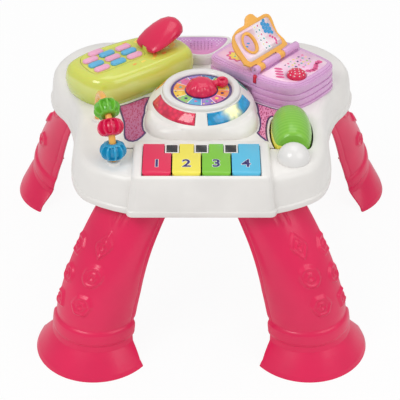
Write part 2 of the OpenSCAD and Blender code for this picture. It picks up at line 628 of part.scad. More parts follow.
module dial_spindle() color("silver") translate([dome_at[0], dome_at[1], dome_z - dome_wall - 5])
    difference() {
        union() {
            cylinder(r = spindle_r, h = dome_wall + 5 + disc_t + gap + knob_h * 0.6 - 0.1);
            translate([0, 0, 2]) cylinder(r = spindle_r + 2.5, h = 2);
        }
        translate([0, 0, -1]) cylinder(r = screw_r, h = 3);
    }

// ---- Telephone ----

phone_at = dome_at + [-100, 80];
phone_steps = 3;
phone_outline = smooth([[-88, 10], [-81, -26], [-55, -45], [-5, -49], [45, -48], [76, -45], [86, -28],
    [85, -6],
    [72, 22], [45, 37], [5, 45], [-44, 48], [-80, 38]], phone_steps);
// Height over the deck and inset of the case's rings
phone_rings = [[0, 3], [8, 0.5], [20, -1], [30, 1], [phone_h - 5, 3.5], [phone_h - 1.5, 7], [phone_h, 11]];
phone_inner_rings = [[-1, 3 + wall], [8, 0.5 + wall], [20, wall - 1], [30, 1 + wall],
    [phone_h - 6, 3.5 + wall],
    [phone_h - wall, 9 + wall]];
pad_at = [-25, 4];
pad_steps = 2;
pad_outline = [for (p = smooth([[-44, -4], [-42, -16], [-30, -21], [6, -21], [38, -20], [45, -10],
    [43, 10], [34, 21],
    [8, 26], [-6, 34], [-26, 32], [-40, 20]], pad_steps))
    [pad_at[0] + p[0] * cap_pitch_u / 27.5, pad_at[1] + p[1] * cap_pitch_v / 13.6]];
pad_t = 2.4;
pad_rise = 0.4;
pad_travel = 1.5;
cap_seat_z = phone_h + pad_rise;
phone_board_z = phone_h - 11;
phone_board_inset = 13;
phone_pillar_at = [[-60, -24], [33, -34], [52, 14], [-38, -34]];
hinge_u = 25;
hinge_v = -7.5;
hinge_rise = 6.2;
hinge_pin_r = 1.6;
lug_r = 3.6;
lug_half = 5;
pin_half = 10;
module at_phone() translate([phone_at[0], phone_at[1], deck_z]) rotate([0, 0, phone_turn]) children();
module at_hinge() at_phone() translate([hinge_u, hinge_v, phone_h + hinge_rise]) children();

module phone_case() color("yellowgreen") at_phone() {
    difference() {
        union() {
            difference() {
                skin([for (g = phone_rings) at_height(inset(phone_outline, g[1]), g[0])]);
                skin([for (g = phone_inner_rings) at_height(inset(phone_outline, g[1]), g[0])]);
                translate([0, 0, phone_h - wall - 1]) linear_extrude(wall + 2)
                    polygon(inset(pad_outline, -gap));
            }
            for (p = phone_pillar_at) translate([p[0], p[1], phone_board_z + board_t])
                cylinder(r = pillar_r, h = phone_h - wall - phone_board_z - board_t + 0.3);
            translate([hinge_u, hinge_v - lug_half, phone_h - 1]) {
                translate([-lug_r, 0, 0]) cube([2 * lug_r, 2 * lug_half, hinge_rise + 1]);
                translate([0, 2 * lug_half, hinge_rise + 1]) rotate([90, 0, 0])
                    cylinder(r = lug_r, h = 2 * lug_half);
            }
        }
        translate([hinge_u, hinge_v + far / 2, phone_h + hinge_rise]) rotate([90, 0, 0])
            cylinder(r = hinge_pin_r + 0.08, h = far);
    }
}
module phone_board() color("seagreen") at_phone() translate([0, 0, phone_board_z]) {
    linear_extrude(board_t) polygon(inset(phone_outline, phone_board_inset));
    for (i = [-1 : 1], j = [-1 : 1]) translate([pad_at[0] + i * cap_pitch_u, pad_at[1] + j * cap_pitch_v,
        board_t - 0.2])
        cylinder(r = 3, h = cap_seat_z - pad_t - pad_travel - seat_gap - phone_board_z - board_t + 0.2);
}
module phone_keypad() color("yellowgreen") at_phone() translate([0, 0, cap_seat_z - pad_t])
    linear_extrude(pad_t) polygon(pad_outline);
// Keys by column and row; the tenth stands alone behind the others
pink_caps = [[-1, 1], [0, 0], [1, 1], [-1, -1], [1, -1], [-0.38, 1.88]];
blue_caps = [[0, 1], [-1, 0], [1, 0], [0, -1]];
module caps(list) at_phone() for (c = list)
    translate([pad_at[0] + c[0] * cap_pitch_u, pad_at[1] + c[1] * cap_pitch_v, cap_seat_z]) {
        linear_extrude(cap_h - 1) polygon(round_box(-cap_len / 2, cap_len / 2, -cap_w / 2, cap_w / 2,
            cap_w / 2 - 0.1, 6));
        translate([0, 0, cap_h - 1]) linear_extrude(1)
            polygon(round_box(-cap_len / 2 + 1, cap_len / 2 - 1, -cap_w / 2 + 1, cap_w / 2 - 1,
                cap_w / 2 - 1.1, 6));
    }
module phone_keys_pink() color("pink") caps(pink_caps);
module phone_keys_blue() color("lightskyblue") caps(blue_caps);
// Place along the handset, half width, underside and top over the hinge's axis
handset_sections = [[-0.075, 0.31, -3, 3.2], [-0.04, 0.41, -4.4, 6.2], [0.08, 0.47, -5.3, 9.2],
    [0.3, 0.51, -6.2, 13.2], [0.52, 0.5, -7.1, 16.3], [0.74, 0.45, -8, 17.6], [0.88, 0.37, -7.5, 16.3],
    [0.96, 0.25, -5.6, 13.2], [1, 0.12, -2, 8.8]];
handset_sides = 20;
function handset_ring(g) = [for (i = [0 : handset_sides - 1]) let (a = i * 360 / handset_sides)
    [handset_w * g[1] * cos(a), (g[2] + g[3]) / 2 + (g[3] - g[2]) / 2 * sin(a), handset_len * g[0]]];
module handset() color("crimson") at_hinge() rotate([0, -handset_open, 0]) difference() {
    rotate([90, 0, 90]) skin([for (g = handset_sections) handset_ring(g)]);
    // slot for the lug, open to the underside and to the rear
    translate([-far, -lug_half - gap, -far]) cube([far + lug_r + gap, 2 * (lug_half + gap),
        far + lug_r + gap]);
    translate([0, far / 2, 0]) rotate([90, 0, 0]) cylinder(r = hinge_pin_r + 0.02, h = far);
}
module handset_pin() color("silver") at_hinge() translate([0, pin_half, 0]) rotate([90, 0, 0])
    cylinder(r = hinge_pin_r, h = 2 * pin_half);

// ---- Book ----

book_at = dome_at + [101, 64];
book_turn = -41;
book_steps = 3;
// Local x runs across the pages and local y along the hinge
book_outline = smooth([[-80, -44], [-60, -50], [-10, -50], [32, -46], [58, -35], [67, -14], [69, 22],
    [66, 46],
    [52, 57], [0, 59], [-50, 57], [-75, 48], [-83, 20], [-84, -22]], book_steps);
// From, to and inset of each layer of covers and page edges
book_layers = [[0, 4, 0], [4, 5.2, 2], [5.2, 13, 0.8], [13, 14.2, 2.6], [14.2, 22, 1.4], [22, 23.2, 3.2],
    [23.2, book_h - 4, 2], [book_h - 4, book_h - 1.6, 3.2], [book_h - 1.6, book_h, 5.2]];
spine_mid = 2;
spine_z = book_h + spine_r + 0.4;
knuckle_at = [-31, 12];
page_knuckle_len = 10;
page_gap = 0.5;
berry_at = [45, -9];
berry_r = 13;
berry_h = 8.5;
berry_travel = 2;
pin_at = [3, -46.8];
pin_r = 2.4;
sensor_drop = 12;
print_margin = 10;
dome_gap = 1;         // clearance between the book's case and the dome
module at_book() translate([book_at[0], book_at[1], deck_z]) rotate([0, 0, book_turn]) children();
module at_spine() at_book() translate([0, 0, spine_z]) children();
module along_spine(y0, y1, r) translate([0, y1, 0]) rotate([90, 0, 0]) cylinder(r = r, h = y1 - y0);
spine_ends = [spine_mid - spine_len / 2, spine_mid + spine_len / 2];
barrel_parts = [[spine_ends[0], knuckle_at[0] - page_knuckle_len / 2 - page_gap],
    [knuckle_at[0] + page_knuckle_len / 2 + page_gap, knuckle_at[1] - page_knuckle_len / 2 - page_gap],
    [knuckle_at[1] + page_knuckle_len / 2 + page_gap, spine_ends[1]]];

// Space that the dome and its buttons take up, grown by d
module dome_room(d) at_dome() rotate_extrude($fn = 96) polygon([[0, -1], [dome_r + d, -1],
    [dome_r + d, cone_z(cone_foot_r) + d], [cone_foot_r + d, cone_z(cone_foot_r) + button_proud + d],
    [cone_top_r + d, dome_rise + button_proud + d], [0, dome_rise + button_proud + d]]);
module book_case() color("plum") difference() {
    union() {
        at_book() difference() {
            union() for (g = book_layers) translate([0, 0, g[0]]) linear_extrude(g[1] - g[0])
                polygon(inset(book_outline, g[2]));
            translate([0, 0, -1]) linear_extrude(book_h - wall + 1)
                polygon(inset(book_outline, 3.2 + wall));
        }
        intersection() {
            dome_room(dome_gap + wall);
            at_book() linear_extrude(book_h - 1) polygon(inset(book_outline, 3.2 + wall - 1));
        }
        at_spine() for (p = barrel_parts) {
            along_spine(p[0], p[1], spine_r);
            translate([-3, p[0], -spine_r - 0.9]) cube([6, p[1] - p[0], spine_r]);
        }
        at_book() difference() {
            translate([pin_at[0], pin_at[1], book_h - sensor_drop - 2])
                cylinder(r = pin_r + 2, h = sensor_drop);
            translate([-10, pin_at[1] - 20, 0]) cube([20, 20 - 0.5, far]);
        }
    }
    at_spine() along_spine(-far, far, page_pin_r + 0.05);
    dome_room(dome_gap);
    at_book() translate([berry_at[0], berry_at[1], book_h - wall - 2]) cylinder(r = berry_r + gap, h = far);
    at_book() translate([pin_at[0], pin_at[1], book_h - sensor_drop]) cylinder(r = pin_r + gap, h = far);
}
module book_sheet(x0, x1) at_book() translate([0, 0, book_h]) linear_extrude(print_t) difference() {
    intersection() {
        polygon(inset(book_outline, print_margin));
        translate([x0, -far / 2]) square([x1 - x0, far]);
    }
    translate(berry_at) circle(r = berry_r + gap + 1);
}
module book_left_print() color("plum") book_sheet(-far, -spine_r - 1.5);
module book_right_print() color("lightpink") book_sheet(spine_r + 1.5, far);
module page_hinge_pin() color("silver") at_spine() along_spine(spine_ends[0] + 1, spine_ends[1] - 1,
    page_pin_r);
module berry_button() color("crimson") at_book() translate([berry_at[0], berry_at[1], book_h]) {
    rotate_extrude() polygon([[0, -5], [berry_r, -5], [berry_r, 2], [berry_r - 0.8, 4.4],
        [berry_r - 3, 6.6],
        [berry_r - 6.5, 8], [0, berry_h]]);
    translate([0, 0, -14]) cylinder(r = 4, h = 10);
}
module page_sensor_pin() color("red") at_book() translate([pin_at[0], pin_at[1],
    book_h - sensor_drop + berry_travel + seat_gap])
    cylinder(r = pin_r, h = sensor_drop - berry_travel - seat_gap + 1);

// The turning page, drawn flat with x from the hinge outwards and y along the hinge
page_ends = [-50, 34];
page_near = 7;
tab_mid = -4;         // middle of the finger tab along the page's edge
page_outline = smooth([[page_near, page_ends[0] + 2], [22, page_ends[0] - 2.5],
    [page_len - 18, page_ends[0] - 3],
    [page_len - 5, page_ends[0] + 5], [page_len, page_ends[0] + 20], [page_len, tab_mid - 13],
    [page_len + 7, tab_mid - 8], [page_len + 10, tab_mid], [page_len + 7, tab_mid + 8],
        [page_len, tab_mid + 13],
    [page_len, page_ends[1] - 12], [page_len - 4, page_ends[1] - 2], [page_len - 14, page_ends[1]],
    [28, page_ends[1] - 3], [page_near, page_ends[1] - 1], [page_near, 0]], 2);
page_field = round_box(page_near + page_frame_w, page_len - page_frame_w, page_ends[0] + page_frame_w,
    page_ends[1] - page_frame_w, 6);
window_at = [35, -24];
window_size = [12.5, 9.5];
ring_w = 3.6;
module at_page() at_spine() rotate([0, 180 + page_open, 0]) children();
module window(grow) translate(window_at) polygon([for (a = [0 : 10 : 350])
    [(window_size[0] + grow) * cos(a), (window_size[1] + grow) * sin(a)]]);
module page_frame() color("orange") at_page() difference() {
    union() {
        translate([0, 0, -page_t / 2]) linear_extrude(page_t) difference() {
            polygon(page_outline);
            polygon(page_field);
        }
        for (k = knuckle_at) {
            along_spine(k - page_knuckle_len / 2, k + page_knuckle_len / 2, spine_r - 0.3);
            translate([0, k - page_knuckle_len / 2, -page_t / 2])
                cube([page_near + 1.5, page_knuckle_len, page_t]);
        }
    }
    along_spine(-far, far, page_pin_r + 0.08);
}
module page_print() color("lightpink") at_page() translate([0, 0, -page_t / 2 + 0.4])
    linear_extrude(page_t - 0.8)
    difference() {
        polygon(inset(page_field, seat_gap / 3));
        window(ring_w);
    }
module page_window_ring() color("orange") at_page() translate([0, 0, -page_t / 2 - 0.3])
    linear_extrude(page_t + 0.6)
    difference() {
        window(ring_w - seat_gap / 3);
        window(0);
    }

// ---- Bead arch ----

bead_end_r = 8;
// Angle between two beads that touch
bead_step = 2 * atan(bead_len / 2 / (arch_r - bead_end_r)) + 0.3;
// Angle of the blue, crimson and green bead along the arch
bead_start = [8, 41.5, 41.5 + bead_step];
flute_count = 10;
flute_r = 3.3;
flute_reach = 58;     // angle that each flute covers, to both sides of the bead's middle
bead_bore_r = rod_r + bead_len * bead_len / 8 / arch_r + 0.6;
// Radius and place along the bead's axis of its outline, from its end at s = -1 or from its middle at s = 1
bead_shape = [[bead_end_r, 0.5], [13, 0.42], [bead_r - 1.3, 0.28], [bead_r, 0.1]];
function bead_side(s) = [for (i = [0 : 3]) let (g = bead_shape[s < 0 ? i : 3 - i]) [g[0],
    s * g[1] * bead_len]];
// Middle of the arc that a flute follows
flute_mid = (bead_r * bead_r - bead_end_r * bead_end_r - bead_len * bead_len / 4) / 2 / (bead_r - bead_end_r);
// Local x points from the arch's middle to its front foot, local y along the turning axis
module at_arch() translate([arch_at[0], arch_at[1], arch_z]) rotate([0, 0, arch_turn]) rotate([90, 0, 0])
    children();
module bead_rail() color("orange") at_arch() {
    rotate_extrude(angle = 180, $fn = 96) translate([arch_r, 0]) circle(r = rod_r, $fn = 32);
    for (s = [-1, 1]) translate([s * arch_r, 0, 0]) rotate([90, 0, 0])
        cylinder(r = rod_r, h = arch_z - deck_z + 6, $fn = 32);
}
module bead(a) at_arch() rotate([0, 0, a]) translate([arch_r, 0, 0]) rotate([90, 0, 0]) difference() {
    rotate_extrude() polygon(concat([[bead_bore_r, -bead_len / 2]], bead_side(-1), bead_side(1),
        [[bead_bore_r, bead_len / 2]]));
    for (i = [0 : flute_count - 1]) rotate([0, 0, i * 360 / flute_count]) translate([flute_mid, 0, 0])
        rotate([90, 0, 0]) rotate([0, 0, -flute_reach]) rotate_extrude(angle = 2 * flute_reach)
            translate([bead_r - flute_mid + 0.5, 0]) circle(r = flute_r, $fn = 24);
}
module bead_blue() color("deepskyblue") bead(bead_start[0]);
module bead_crimson() color("crimson") bead(bead_start[1]);
module bead_green() color("limegreen") bead(bead_start[2]);

// ---- Roller ----

roller_split = 12;    // how far the joint between the two halves is turned
module roller_half(a0) translate([roller_x, roller_front_y + roller_len / 2, roller_z]) rotate([90, 0, 0])
    rotate([0, 0, a0]) rotate_extrude(angle = 179.8, $fn = 72) difference() {
        polygon(concat([for (t = barrel_t) [barrel_r(t), t * roller_len / 2]],
            [[axle_r + 0.06, roller_len / 2], [axle_r + 0.06, -roller_len / 2]]));
        polygon(concat([for (t = barrel_t) [barrel_r(t) - roller_wall, t * (roller_len / 2 - roller_wall)]],
            [[axle_r + 2.5, roller_len / 2 - roller_wall], [axle_r + 2.5, -roller_len / 2 + roller_wall]]));
    }
module roller_green_half() color("limegreen") roller_half(-roller_split);
module roller_yellow_half() color("yellow") roller_half(180 - roller_split);
axle_front_y = cap_y - 6;
module roller_axle() color("silver") translate([roller_x, axle_front_y, roller_z]) rotate([-90, 0, 0])
    cylinder(r = axle_r, h = roller_rear_y + bearing_t - 1 - axle_front_y);
module roller_cap() color("white") difference() {
    union() {
        difference() {
            translate([roller_x, cap_y, deck_z]) sphere(r = cap_r, $fn = 72);
            translate([roller_x, cap_y, deck_z]) sphere(r = cap_r - wall, $fn = 72);
        }
        translate([roller_x - 6, cap_y - 9, deck_z]) cube([12, cap_r + 4, 12]);
    }
    translate([roller_x, cap_y, deck_z - cap_r - 1]) cylinder(r = cap_r + 1, h = cap_r + 1);
    translate([roller_x, axle_front_y - 0.3, roller_z]) rotate([-90, 0, 0])
        cylinder(r = axle_r + 0.05, h = far);
}
module roller_rear_bearing() color("white") difference() {
    union() {
        translate([roller_x - 9, roller_rear_y + 1, deck_z]) cube([18, bearing_t, roller_z - deck_z]);
        translate([roller_x, roller_rear_y + 1, roller_z]) rotate([-90, 0, 0])
            cylinder(r = 9, h = bearing_t);
    }
    translate([roller_x - far / 2, roller_rear_y - 1, deck_z - far]) cube([far, bearing_t + 4, far]);
    translate([roller_x, roller_rear_y - 1, roller_z]) rotate([-90, 0, 0])
        cylinder(r = axle_r + 0.05, h = bearing_t);
}

// ---- Speaker and printed panels ----

speaker_rise = 14;
speaker_half = [[0, -80], [14, -77], [27, -65], [37, -50], [43, -35], [42, -24], [30, -19], [0, -18]];
speaker_outline = smooth([for (p = concat(speaker_half, [for (i = [len(speaker_half) - 2 : -1 : 1])
    [-speaker_half[i][0], speaker_half[i][1]]])) [p[0], p[1] + rear_len]], 3);
// From, to and inset of each layer of the housing
speaker_layers = [[0, speaker_rise - 2.5, 0], [speaker_rise - 2.5, speaker_rise - 0.8, 1.2],
    [speaker_rise - 0.8, speaker_rise, 2.6]];
panel_sunk = 1.5;
panel_t = 1.2;
panel_margin = 6;
module speaker_housing() color("white") translate([0, 0, deck_z]) difference() {
    union() for (g = speaker_layers)
        translate([0, 0, g[0]]) linear_extrude(g[1] - g[0]) polygon(inset(speaker_outline, g[2]));
    translate([0, 0, -1]) linear_extrude(speaker_rise - wall - panel_sunk + 1)
        polygon(inset(speaker_outline, wall));
    translate([0, 0, speaker_rise - panel_sunk]) linear_extrude(far)
        polygon(inset(speaker_outline, panel_margin));
    translate([speaker_at[0], speaker_at[1], 0]) cylinder(r = speaker_r - 4, h = far);
}
hole_pitch = 5;
module speaker_panel() color("orchid") translate([0, 0, deck_z + speaker_rise - panel_sunk]) difference() {
    linear_extrude(panel_t) polygon(inset(speaker_outline, panel_margin + seat_gap));
    for (i = [-3 : 3], j = [-2 : 2]) if (norm([i, j]) < 3.3)
        translate([speaker_at[0] + i * hole_pitch, speaker_at[1] + j * hole_pitch, -1])
            cylinder(r = 1, h = 4, $fn = 16);
}
module speaker_driver() color("dimgray") translate([speaker_at[0], speaker_at[1], deck_z - wall])
    rotate([180, 0, 0]) {
    difference() {
        cylinder(r = speaker_r, h = 3);
        translate([0, 0, -1]) cylinder(r = speaker_r - 3, h = 3);
    }
    translate([0, 0, 3]) cylinder(r = speaker_r - 5, h = 6);
    translate([0, 0, 9]) cylinder(r = 10, h = 6);
}
// Printed panel in 2D, kept clear of what stands around it
module panel_shape(corners) difference() {
    polygon(smooth(corners, 3));
    translate(phone_at) rotate(phone_turn) polygon(inset(phone_outline, -2));
    translate(book_at) rotate(book_turn) polygon(inset(book_outline, -2));
    translate(dome_at) circle(r = dome_r + 2, $fn = 96);
    translate(dome_at) polygon(round_box(-dome_r - 4, dome_r + 4, -dome_r - 2, dome_r * 0.2 + 2,
        skirt_corner + 2));
    translate([roller_x, 0]) polygon(roller_slot(roller_gap + 3));
    translate([roller_x - 10, roller_rear_y]) square([20, bearing_t + 2]);
}
left_corners = [for (c = [[-112, 16], [-90, 28], [-66, 32], [-70, -2], [-66, -36], [-84, -74], [-101, -70],
    [-104, -32]]) dome_at + c];
module deco_panel_left() color("palevioletred") translate([0, 0, deck_z]) linear_extrude(print_t)
    panel_shape(left_corners);
module deco_panel_right() color("palevioletred") translate([0, 0, deck_z]) linear_extrude(print_t)
    panel_shape([for (i = [len(left_corners) - 1 : -1 : 0]) [-left_corners[i][0], left_corners[i][1]]]);

top_shell();
bottom_cover();
dome_housing();
speaker_housing();
speaker_panel();
speaker_driver();
leg_front_left();
leg_front_right();
leg_rear_left();
leg_rear_right();
key_red();
key_yellow();
key_green();
key_blue();
key_rod();
black_key_inserts();
key_contact_mat();
main_board();
dial_board();
dial_bezel();
dial_disc();
dial_knob();
dial_spindle();
light_button_red();
light_button_blue();
light_button_amber();
light_button_teal();
phone_case();
phone_keypad();
phone_keys_pink();
phone_keys_blue();
phone_board();
handset();
handset_pin();
book_case();
book_left_print();
book_right_print();
page_frame();
page_print();
page_window_ring();
page_hinge_pin();
berry_button();
page_sensor_pin();
bead_rail();
bead_green();
bead_crimson();
bead_blue();
roller_green_half();
roller_yellow_half();
roller_axle();
roller_cap();
roller_rear_bearing();
deco_panel_left();
deco_panel_right();
battery_door();
battery_door_screw();
batteries();
battery_contacts();
power_switch();
casing_screws();
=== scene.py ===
import math
import random

import bmesh
import bpy
import numpy as np
from mathutils import Matrix, Vector


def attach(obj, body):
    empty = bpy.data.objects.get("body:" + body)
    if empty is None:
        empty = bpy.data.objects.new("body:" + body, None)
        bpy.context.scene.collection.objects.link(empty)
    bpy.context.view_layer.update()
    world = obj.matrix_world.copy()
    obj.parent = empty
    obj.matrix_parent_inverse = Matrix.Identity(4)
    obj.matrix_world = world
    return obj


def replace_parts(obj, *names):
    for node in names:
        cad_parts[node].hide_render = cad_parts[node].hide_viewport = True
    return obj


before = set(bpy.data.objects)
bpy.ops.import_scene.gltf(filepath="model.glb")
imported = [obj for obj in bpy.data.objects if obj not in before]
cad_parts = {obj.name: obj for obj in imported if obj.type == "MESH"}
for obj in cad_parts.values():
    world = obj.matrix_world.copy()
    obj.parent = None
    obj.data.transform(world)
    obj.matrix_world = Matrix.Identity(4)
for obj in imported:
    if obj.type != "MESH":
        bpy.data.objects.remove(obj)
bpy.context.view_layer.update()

# Shapes are given in millimetres; matrices, shaders and the studio in metres
MM = 0.001
DECK = 279.0        # height of the deck
RIM = 228.0         # height of the table top's lower rim
DIAL_Y = -28.0      # the dial turns about the line at x 0 and this y


# ---- colours and materials ----

def ink(r, g, b):
    """Printed or moulded colour from its 0-255 values, as scene light."""
    def lin(c):
        c /= 255.0
        return c / 12.92 if c <= 0.04045 else ((c + 0.055) / 1.055) ** 2.4
    return (lin(r), lin(g), lin(b), 1.0)


def shade(colour, k):
    """The colour k times as bright, held at full white."""
    return tuple(min(1.0, c * k) for c in colour[:3]) + (1.0,)


LIGHT_REACH = 0.004     # how deep light gets into plastic that lets it in


class Finish:
    """Builds one material: a Principled shader with object coordinates at hand."""

    def __init__(self, name):
        self.mat = bpy.data.materials.new(name)
        self.mat.use_nodes = True
        self.tree = self.mat.node_tree
        self.shader = self.tree.nodes["Principled BSDF"]
        self.coord = self.tree.nodes.new("ShaderNodeTexCoord").outputs["Object"]

    def node(self, kind, **props):
        n = self.tree.nodes.new(kind)
        for key, value in props.items():
            setattr(n, key, value)
        return n

    def join(self, a, b):
        self.tree.links.new(a, b)

    def feed(self, socket, value):
        """Links another node's output to a socket, or writes a plain value into it."""
        if isinstance(value, bpy.types.NodeSocket):
            self.join(value, socket)
        else:
            socket.default_value = value

    def place(self, **mapping):
        """Object coordinates through a mapping of Location, Rotation and Scale."""
        m = self.node("ShaderNodeMapping")
        for key, value in mapping.items():
            m.inputs[key].default_value = value
        self.join(self.coord, m.inputs["Vector"])
        return m.outputs["Vector"]

    def axes(self, vector=None):
        """The x, y and z of a vector, or else of the object coordinates."""
        split = self.node("ShaderNodeSeparateXYZ")
        self.join(vector or self.coord, split.inputs[0])
        return [split.outputs[axis] for axis in "XYZ"]

    def noise(self, scale, detail=2.0, vector=None):
        n = self.node("ShaderNodeTexNoise")
        n.inputs["Scale"].default_value = scale
        n.inputs["Detail"].default_value = detail
        self.join(vector or self.coord, n.inputs["Vector"])
        return n.outputs["Fac"]

    def cells(self, scale, vector=None):
        """Distance to the middle of the nearest cell."""
        n = self.node("ShaderNodeTexVoronoi", feature="F1")
        n.inputs["Scale"].default_value = scale
        self.join(vector or self.coord, n.inputs["Vector"])
        return n.outputs["Distance"]

    def ramp(self, fac, stops, mode="LINEAR"):
        r = self.node("ShaderNodeValToRGB")
        r.color_ramp.interpolation = mode
        elements = r.color_ramp.elements
        for i, (position, colour) in enumerate(stops):
            stop = elements[i] if i < 2 else elements.new(position)
            stop.position = position
            stop.color = colour
        self.join(fac, r.inputs["Fac"])
        return r.outputs["Color"]

    def remap(self, value, **limits):
        """A value through a map range with the limits From_Min, From_Max, To_Min or To_Max."""
        r = self.node("ShaderNodeMapRange")
        for key, limit in limits.items():
            r.inputs[key.replace("_", " ")].default_value = limit
        self.join(value, r.inputs["Value"])
        return r.outputs["Result"]

    def math(self, op, *values):
        m = self.node("ShaderNodeMath", operation=op)
        for socket, value in zip(m.inputs, values):
            self.feed(socket, value)
        return m.outputs[0]

    def length(self, x, y):
        squares = self.math("ADD", self.math("MULTIPLY", x, x), self.math("MULTIPLY", y, y))
        return self.math("SQRT", squares)

    def mix(self, fac, a, b):
        m = self.node("ShaderNodeMix", data_type="RGBA")
        for index, value in ((0, fac), (6, a), (7, b)):
            self.feed(m.inputs[index], value)
        return m.outputs[2]

    def colour(self, value):
        self.join(value, self.shader.inputs["Base Color"])

    def gloss(self, low, high, scale=60.0):
        """Roughness that wanders between two values."""
        uneven = self.remap(self.noise(scale, 3.0), To_Min=low, To_Max=high)
        self.join(uneven, self.shader.inputs["Roughness"])

    def bump(self, height, strength, distance=0.0001):
        b = self.node("ShaderNodeBump")
        b.inputs["Strength"].default_value = strength
        b.inputs["Distance"].default_value = distance
        self.join(height, b.inputs["Height"])
        self.join(b.outputs["Normal"], self.shader.inputs["Normal"])

    def set(self, **values):
        """Writes the shader's own values and returns the material."""
        for key, value in values.items():
            self.shader.inputs[key.replace("_", " ")].default_value = value
        return self.mat


def moulded(name, rgb, low, high, grain, bump, coat, depth=0.0):
    """Injection-moulded plastic: faint flow mottling, fine grain and a slightly uneven gloss."""
    f = Finish(name)
    colour = ink(*rgb)
    f.colour(f.ramp(f.noise(14.0, 3.0), [(0.3, shade(colour, 0.94)), (0.7, shade(colour, 1.05))]))
    f.gloss(low, high)
    f.bump(f.noise(grain), bump, 0.0002)
    if depth:
        f.set(Subsurface_Weight=depth, Subsurface_Scale=LIGHT_REACH)
    return f.set(Coat_Weight=coat, Coat_Roughness=0.12)


# Roughness from and to, scale and strength of the grain, coat, and share of light let in
GLOSSY = (0.18, 0.28, 900.0, 0.05, 0.35)
CAP = (0.3, 0.4, 900.0, 0.08, 0.15, 0.08)
CRISP_INK = (0.3, 0.4, 900.0, 0.04, 0.1)
SOFT_INK = (0.32, 0.42, 900.0, 0.04, 0.1)
PLASTICS = {
    "white_shell": ((237, 234, 230), 0.26, 0.4, 700.0, 0.08, 0.1),
    "white_gloss": ((232, 230, 228), 0.16, 0.26, 900.0, 0.05, 0.3),
    "cover_grain": ((228, 227, 224), 0.45, 0.6, 500.0, 0.35, 0.0),
    "leg_plastic": ((232, 22, 86), 0.26, 0.36, 800.0, 0.06, 0.12),
    "crimson_gloss": ((222, 24, 78), 0.2, 0.3, 900.0, 0.06, 0.3),
    "key_crimson": ((228, 30, 82), *GLOSSY),
    "key_yellow_gloss": ((242, 228, 84), *GLOSSY),
    "key_green_gloss": ((126, 198, 52), *GLOSSY),
    "key_blue_gloss": ((86, 190, 226), *GLOSSY),
    "black_gloss": ((38, 38, 42), 0.2, 0.32, 800.0, 0.08, 0.2),
    "lime_pad": ((214, 218, 100), 0.32, 0.42, 800.0, 0.12, 0.05),
    "cap_pink": ((244, 176, 208), *CAP),
    "cap_blue": ((98, 184, 226), *CAP),
    "lilac_gloss": ((226, 174, 220), 0.22, 0.32, 900.0, 0.06, 0.25),
    "orange_gloss": ((252, 184, 84), 0.2, 0.32, 900.0, 0.06, 0.25),
    "red_pin": ((216, 36, 70), 0.25, 0.35, 900.0, 0.06, 0.2),
    "bead_green_gloss": ((112, 192, 54), *GLOSSY),
    "bead_crimson_gloss": ((226, 26, 84), *GLOSSY),
    "bead_blue_gloss": ((28, 158, 204), *GLOSSY),
    "yellow_gloss": ((250, 238, 84), 0.2, 0.3, 900.0, 0.05, 0.3),
    "soft_rubber": ((190, 190, 188), 0.5, 0.6, 600.0, 0.2, 0.0),
    "navy_print": ((52, 42, 110), *CRISP_INK),
    "white_print": ((246, 246, 248), *CRISP_INK),
    "purple_print": ((92, 62, 118), *SOFT_INK),
    "yellow_print": ((250, 222, 96), *SOFT_INK),
    "teal_print": ((88, 184, 176), *SOFT_INK),
    "rose_print": ((232, 92, 150), *SOFT_INK),
    "sky_print": ((64, 158, 216), *SOFT_INK),
    "lime_print": ((176, 214, 96), *SOFT_INK),
    "orange_print": ((246, 164, 76), *SOFT_INK),
}
finishes = {name: moulded(name, *row) for name, row in PLASTICS.items()}


def drawn_steel():
    """Steel with fine streaks along x, as drawn rod has."""
    f = Finish("drawn_steel")
    streak = f.noise(220.0, 2.0, f.place(Scale=(0.06, 1, 1)))
    f.colour(f.ramp(streak, [(0.3, ink(176, 177, 180)), (0.7, ink(206, 207, 210))]))
    f.gloss(0.24, 0.36, 140.0)
    f.bump(streak, 0.15)
    return f.set(Metallic=1.0)


def circuit_board():
    """Two greens of a board with and without copper under its mask."""
    f = Finish("circuit_board")
    copper = f.noise(260.0, 1.0)
    f.colour(f.ramp(copper, [(0.42, ink(24, 84, 50)), (0.58, ink(44, 118, 72))], "CONSTANT"))
    f.gloss(0.3, 0.45)
    f.bump(copper, 0.2)
    return f.mat


def cell_sleeve():
    """A cell's dark sleeve, its copper-coloured band and its bare ends."""
    f = Finish("cell_sleeve")
    bands = [(0.0, ink(44, 44, 50)), (0.012, ink(196, 158, 74)), (0.0225, ink(190, 190, 194))]
    f.colour(f.ramp(f.math("ABSOLUTE", f.axes()[0]), bands, "CONSTANT"))
    f.gloss(0.25, 0.35)
    f.bump(f.noise(700.0), 0.05)
    return f.set(Metallic=0.4)


def lime_with_painted_sheen():
    """Lime plastic with a painted sheen: its colour is painted paler towards its upper edge and
    darker low down.
    """
    f = Finish("lime_gloss")
    # painted sheen: the colour runs from darker low down to paler near the upper edge
    height = f.math("MULTIPLY_ADD", f.noise(16.0), 0.012, f.axes()[2])
    lift = f.remap(height, From_Min=DECK * MM, From_Max=(DECK + 37) * MM)
    f.colour(f.ramp(lift, [(0.0, ink(184, 202, 66)), (0.55, ink(206, 216, 96)),
                           (0.9, ink(222, 228, 128)), (1.0, ink(214, 220, 92))]))
    f.gloss(0.12, 0.22)
    f.bump(f.noise(900.0), 0.04, 0.0002)
    return f.set(Coat_Weight=0.7, Coat_Roughness=0.08,
                 Subsurface_Weight=0.1, Subsurface_Scale=LIGHT_REACH)


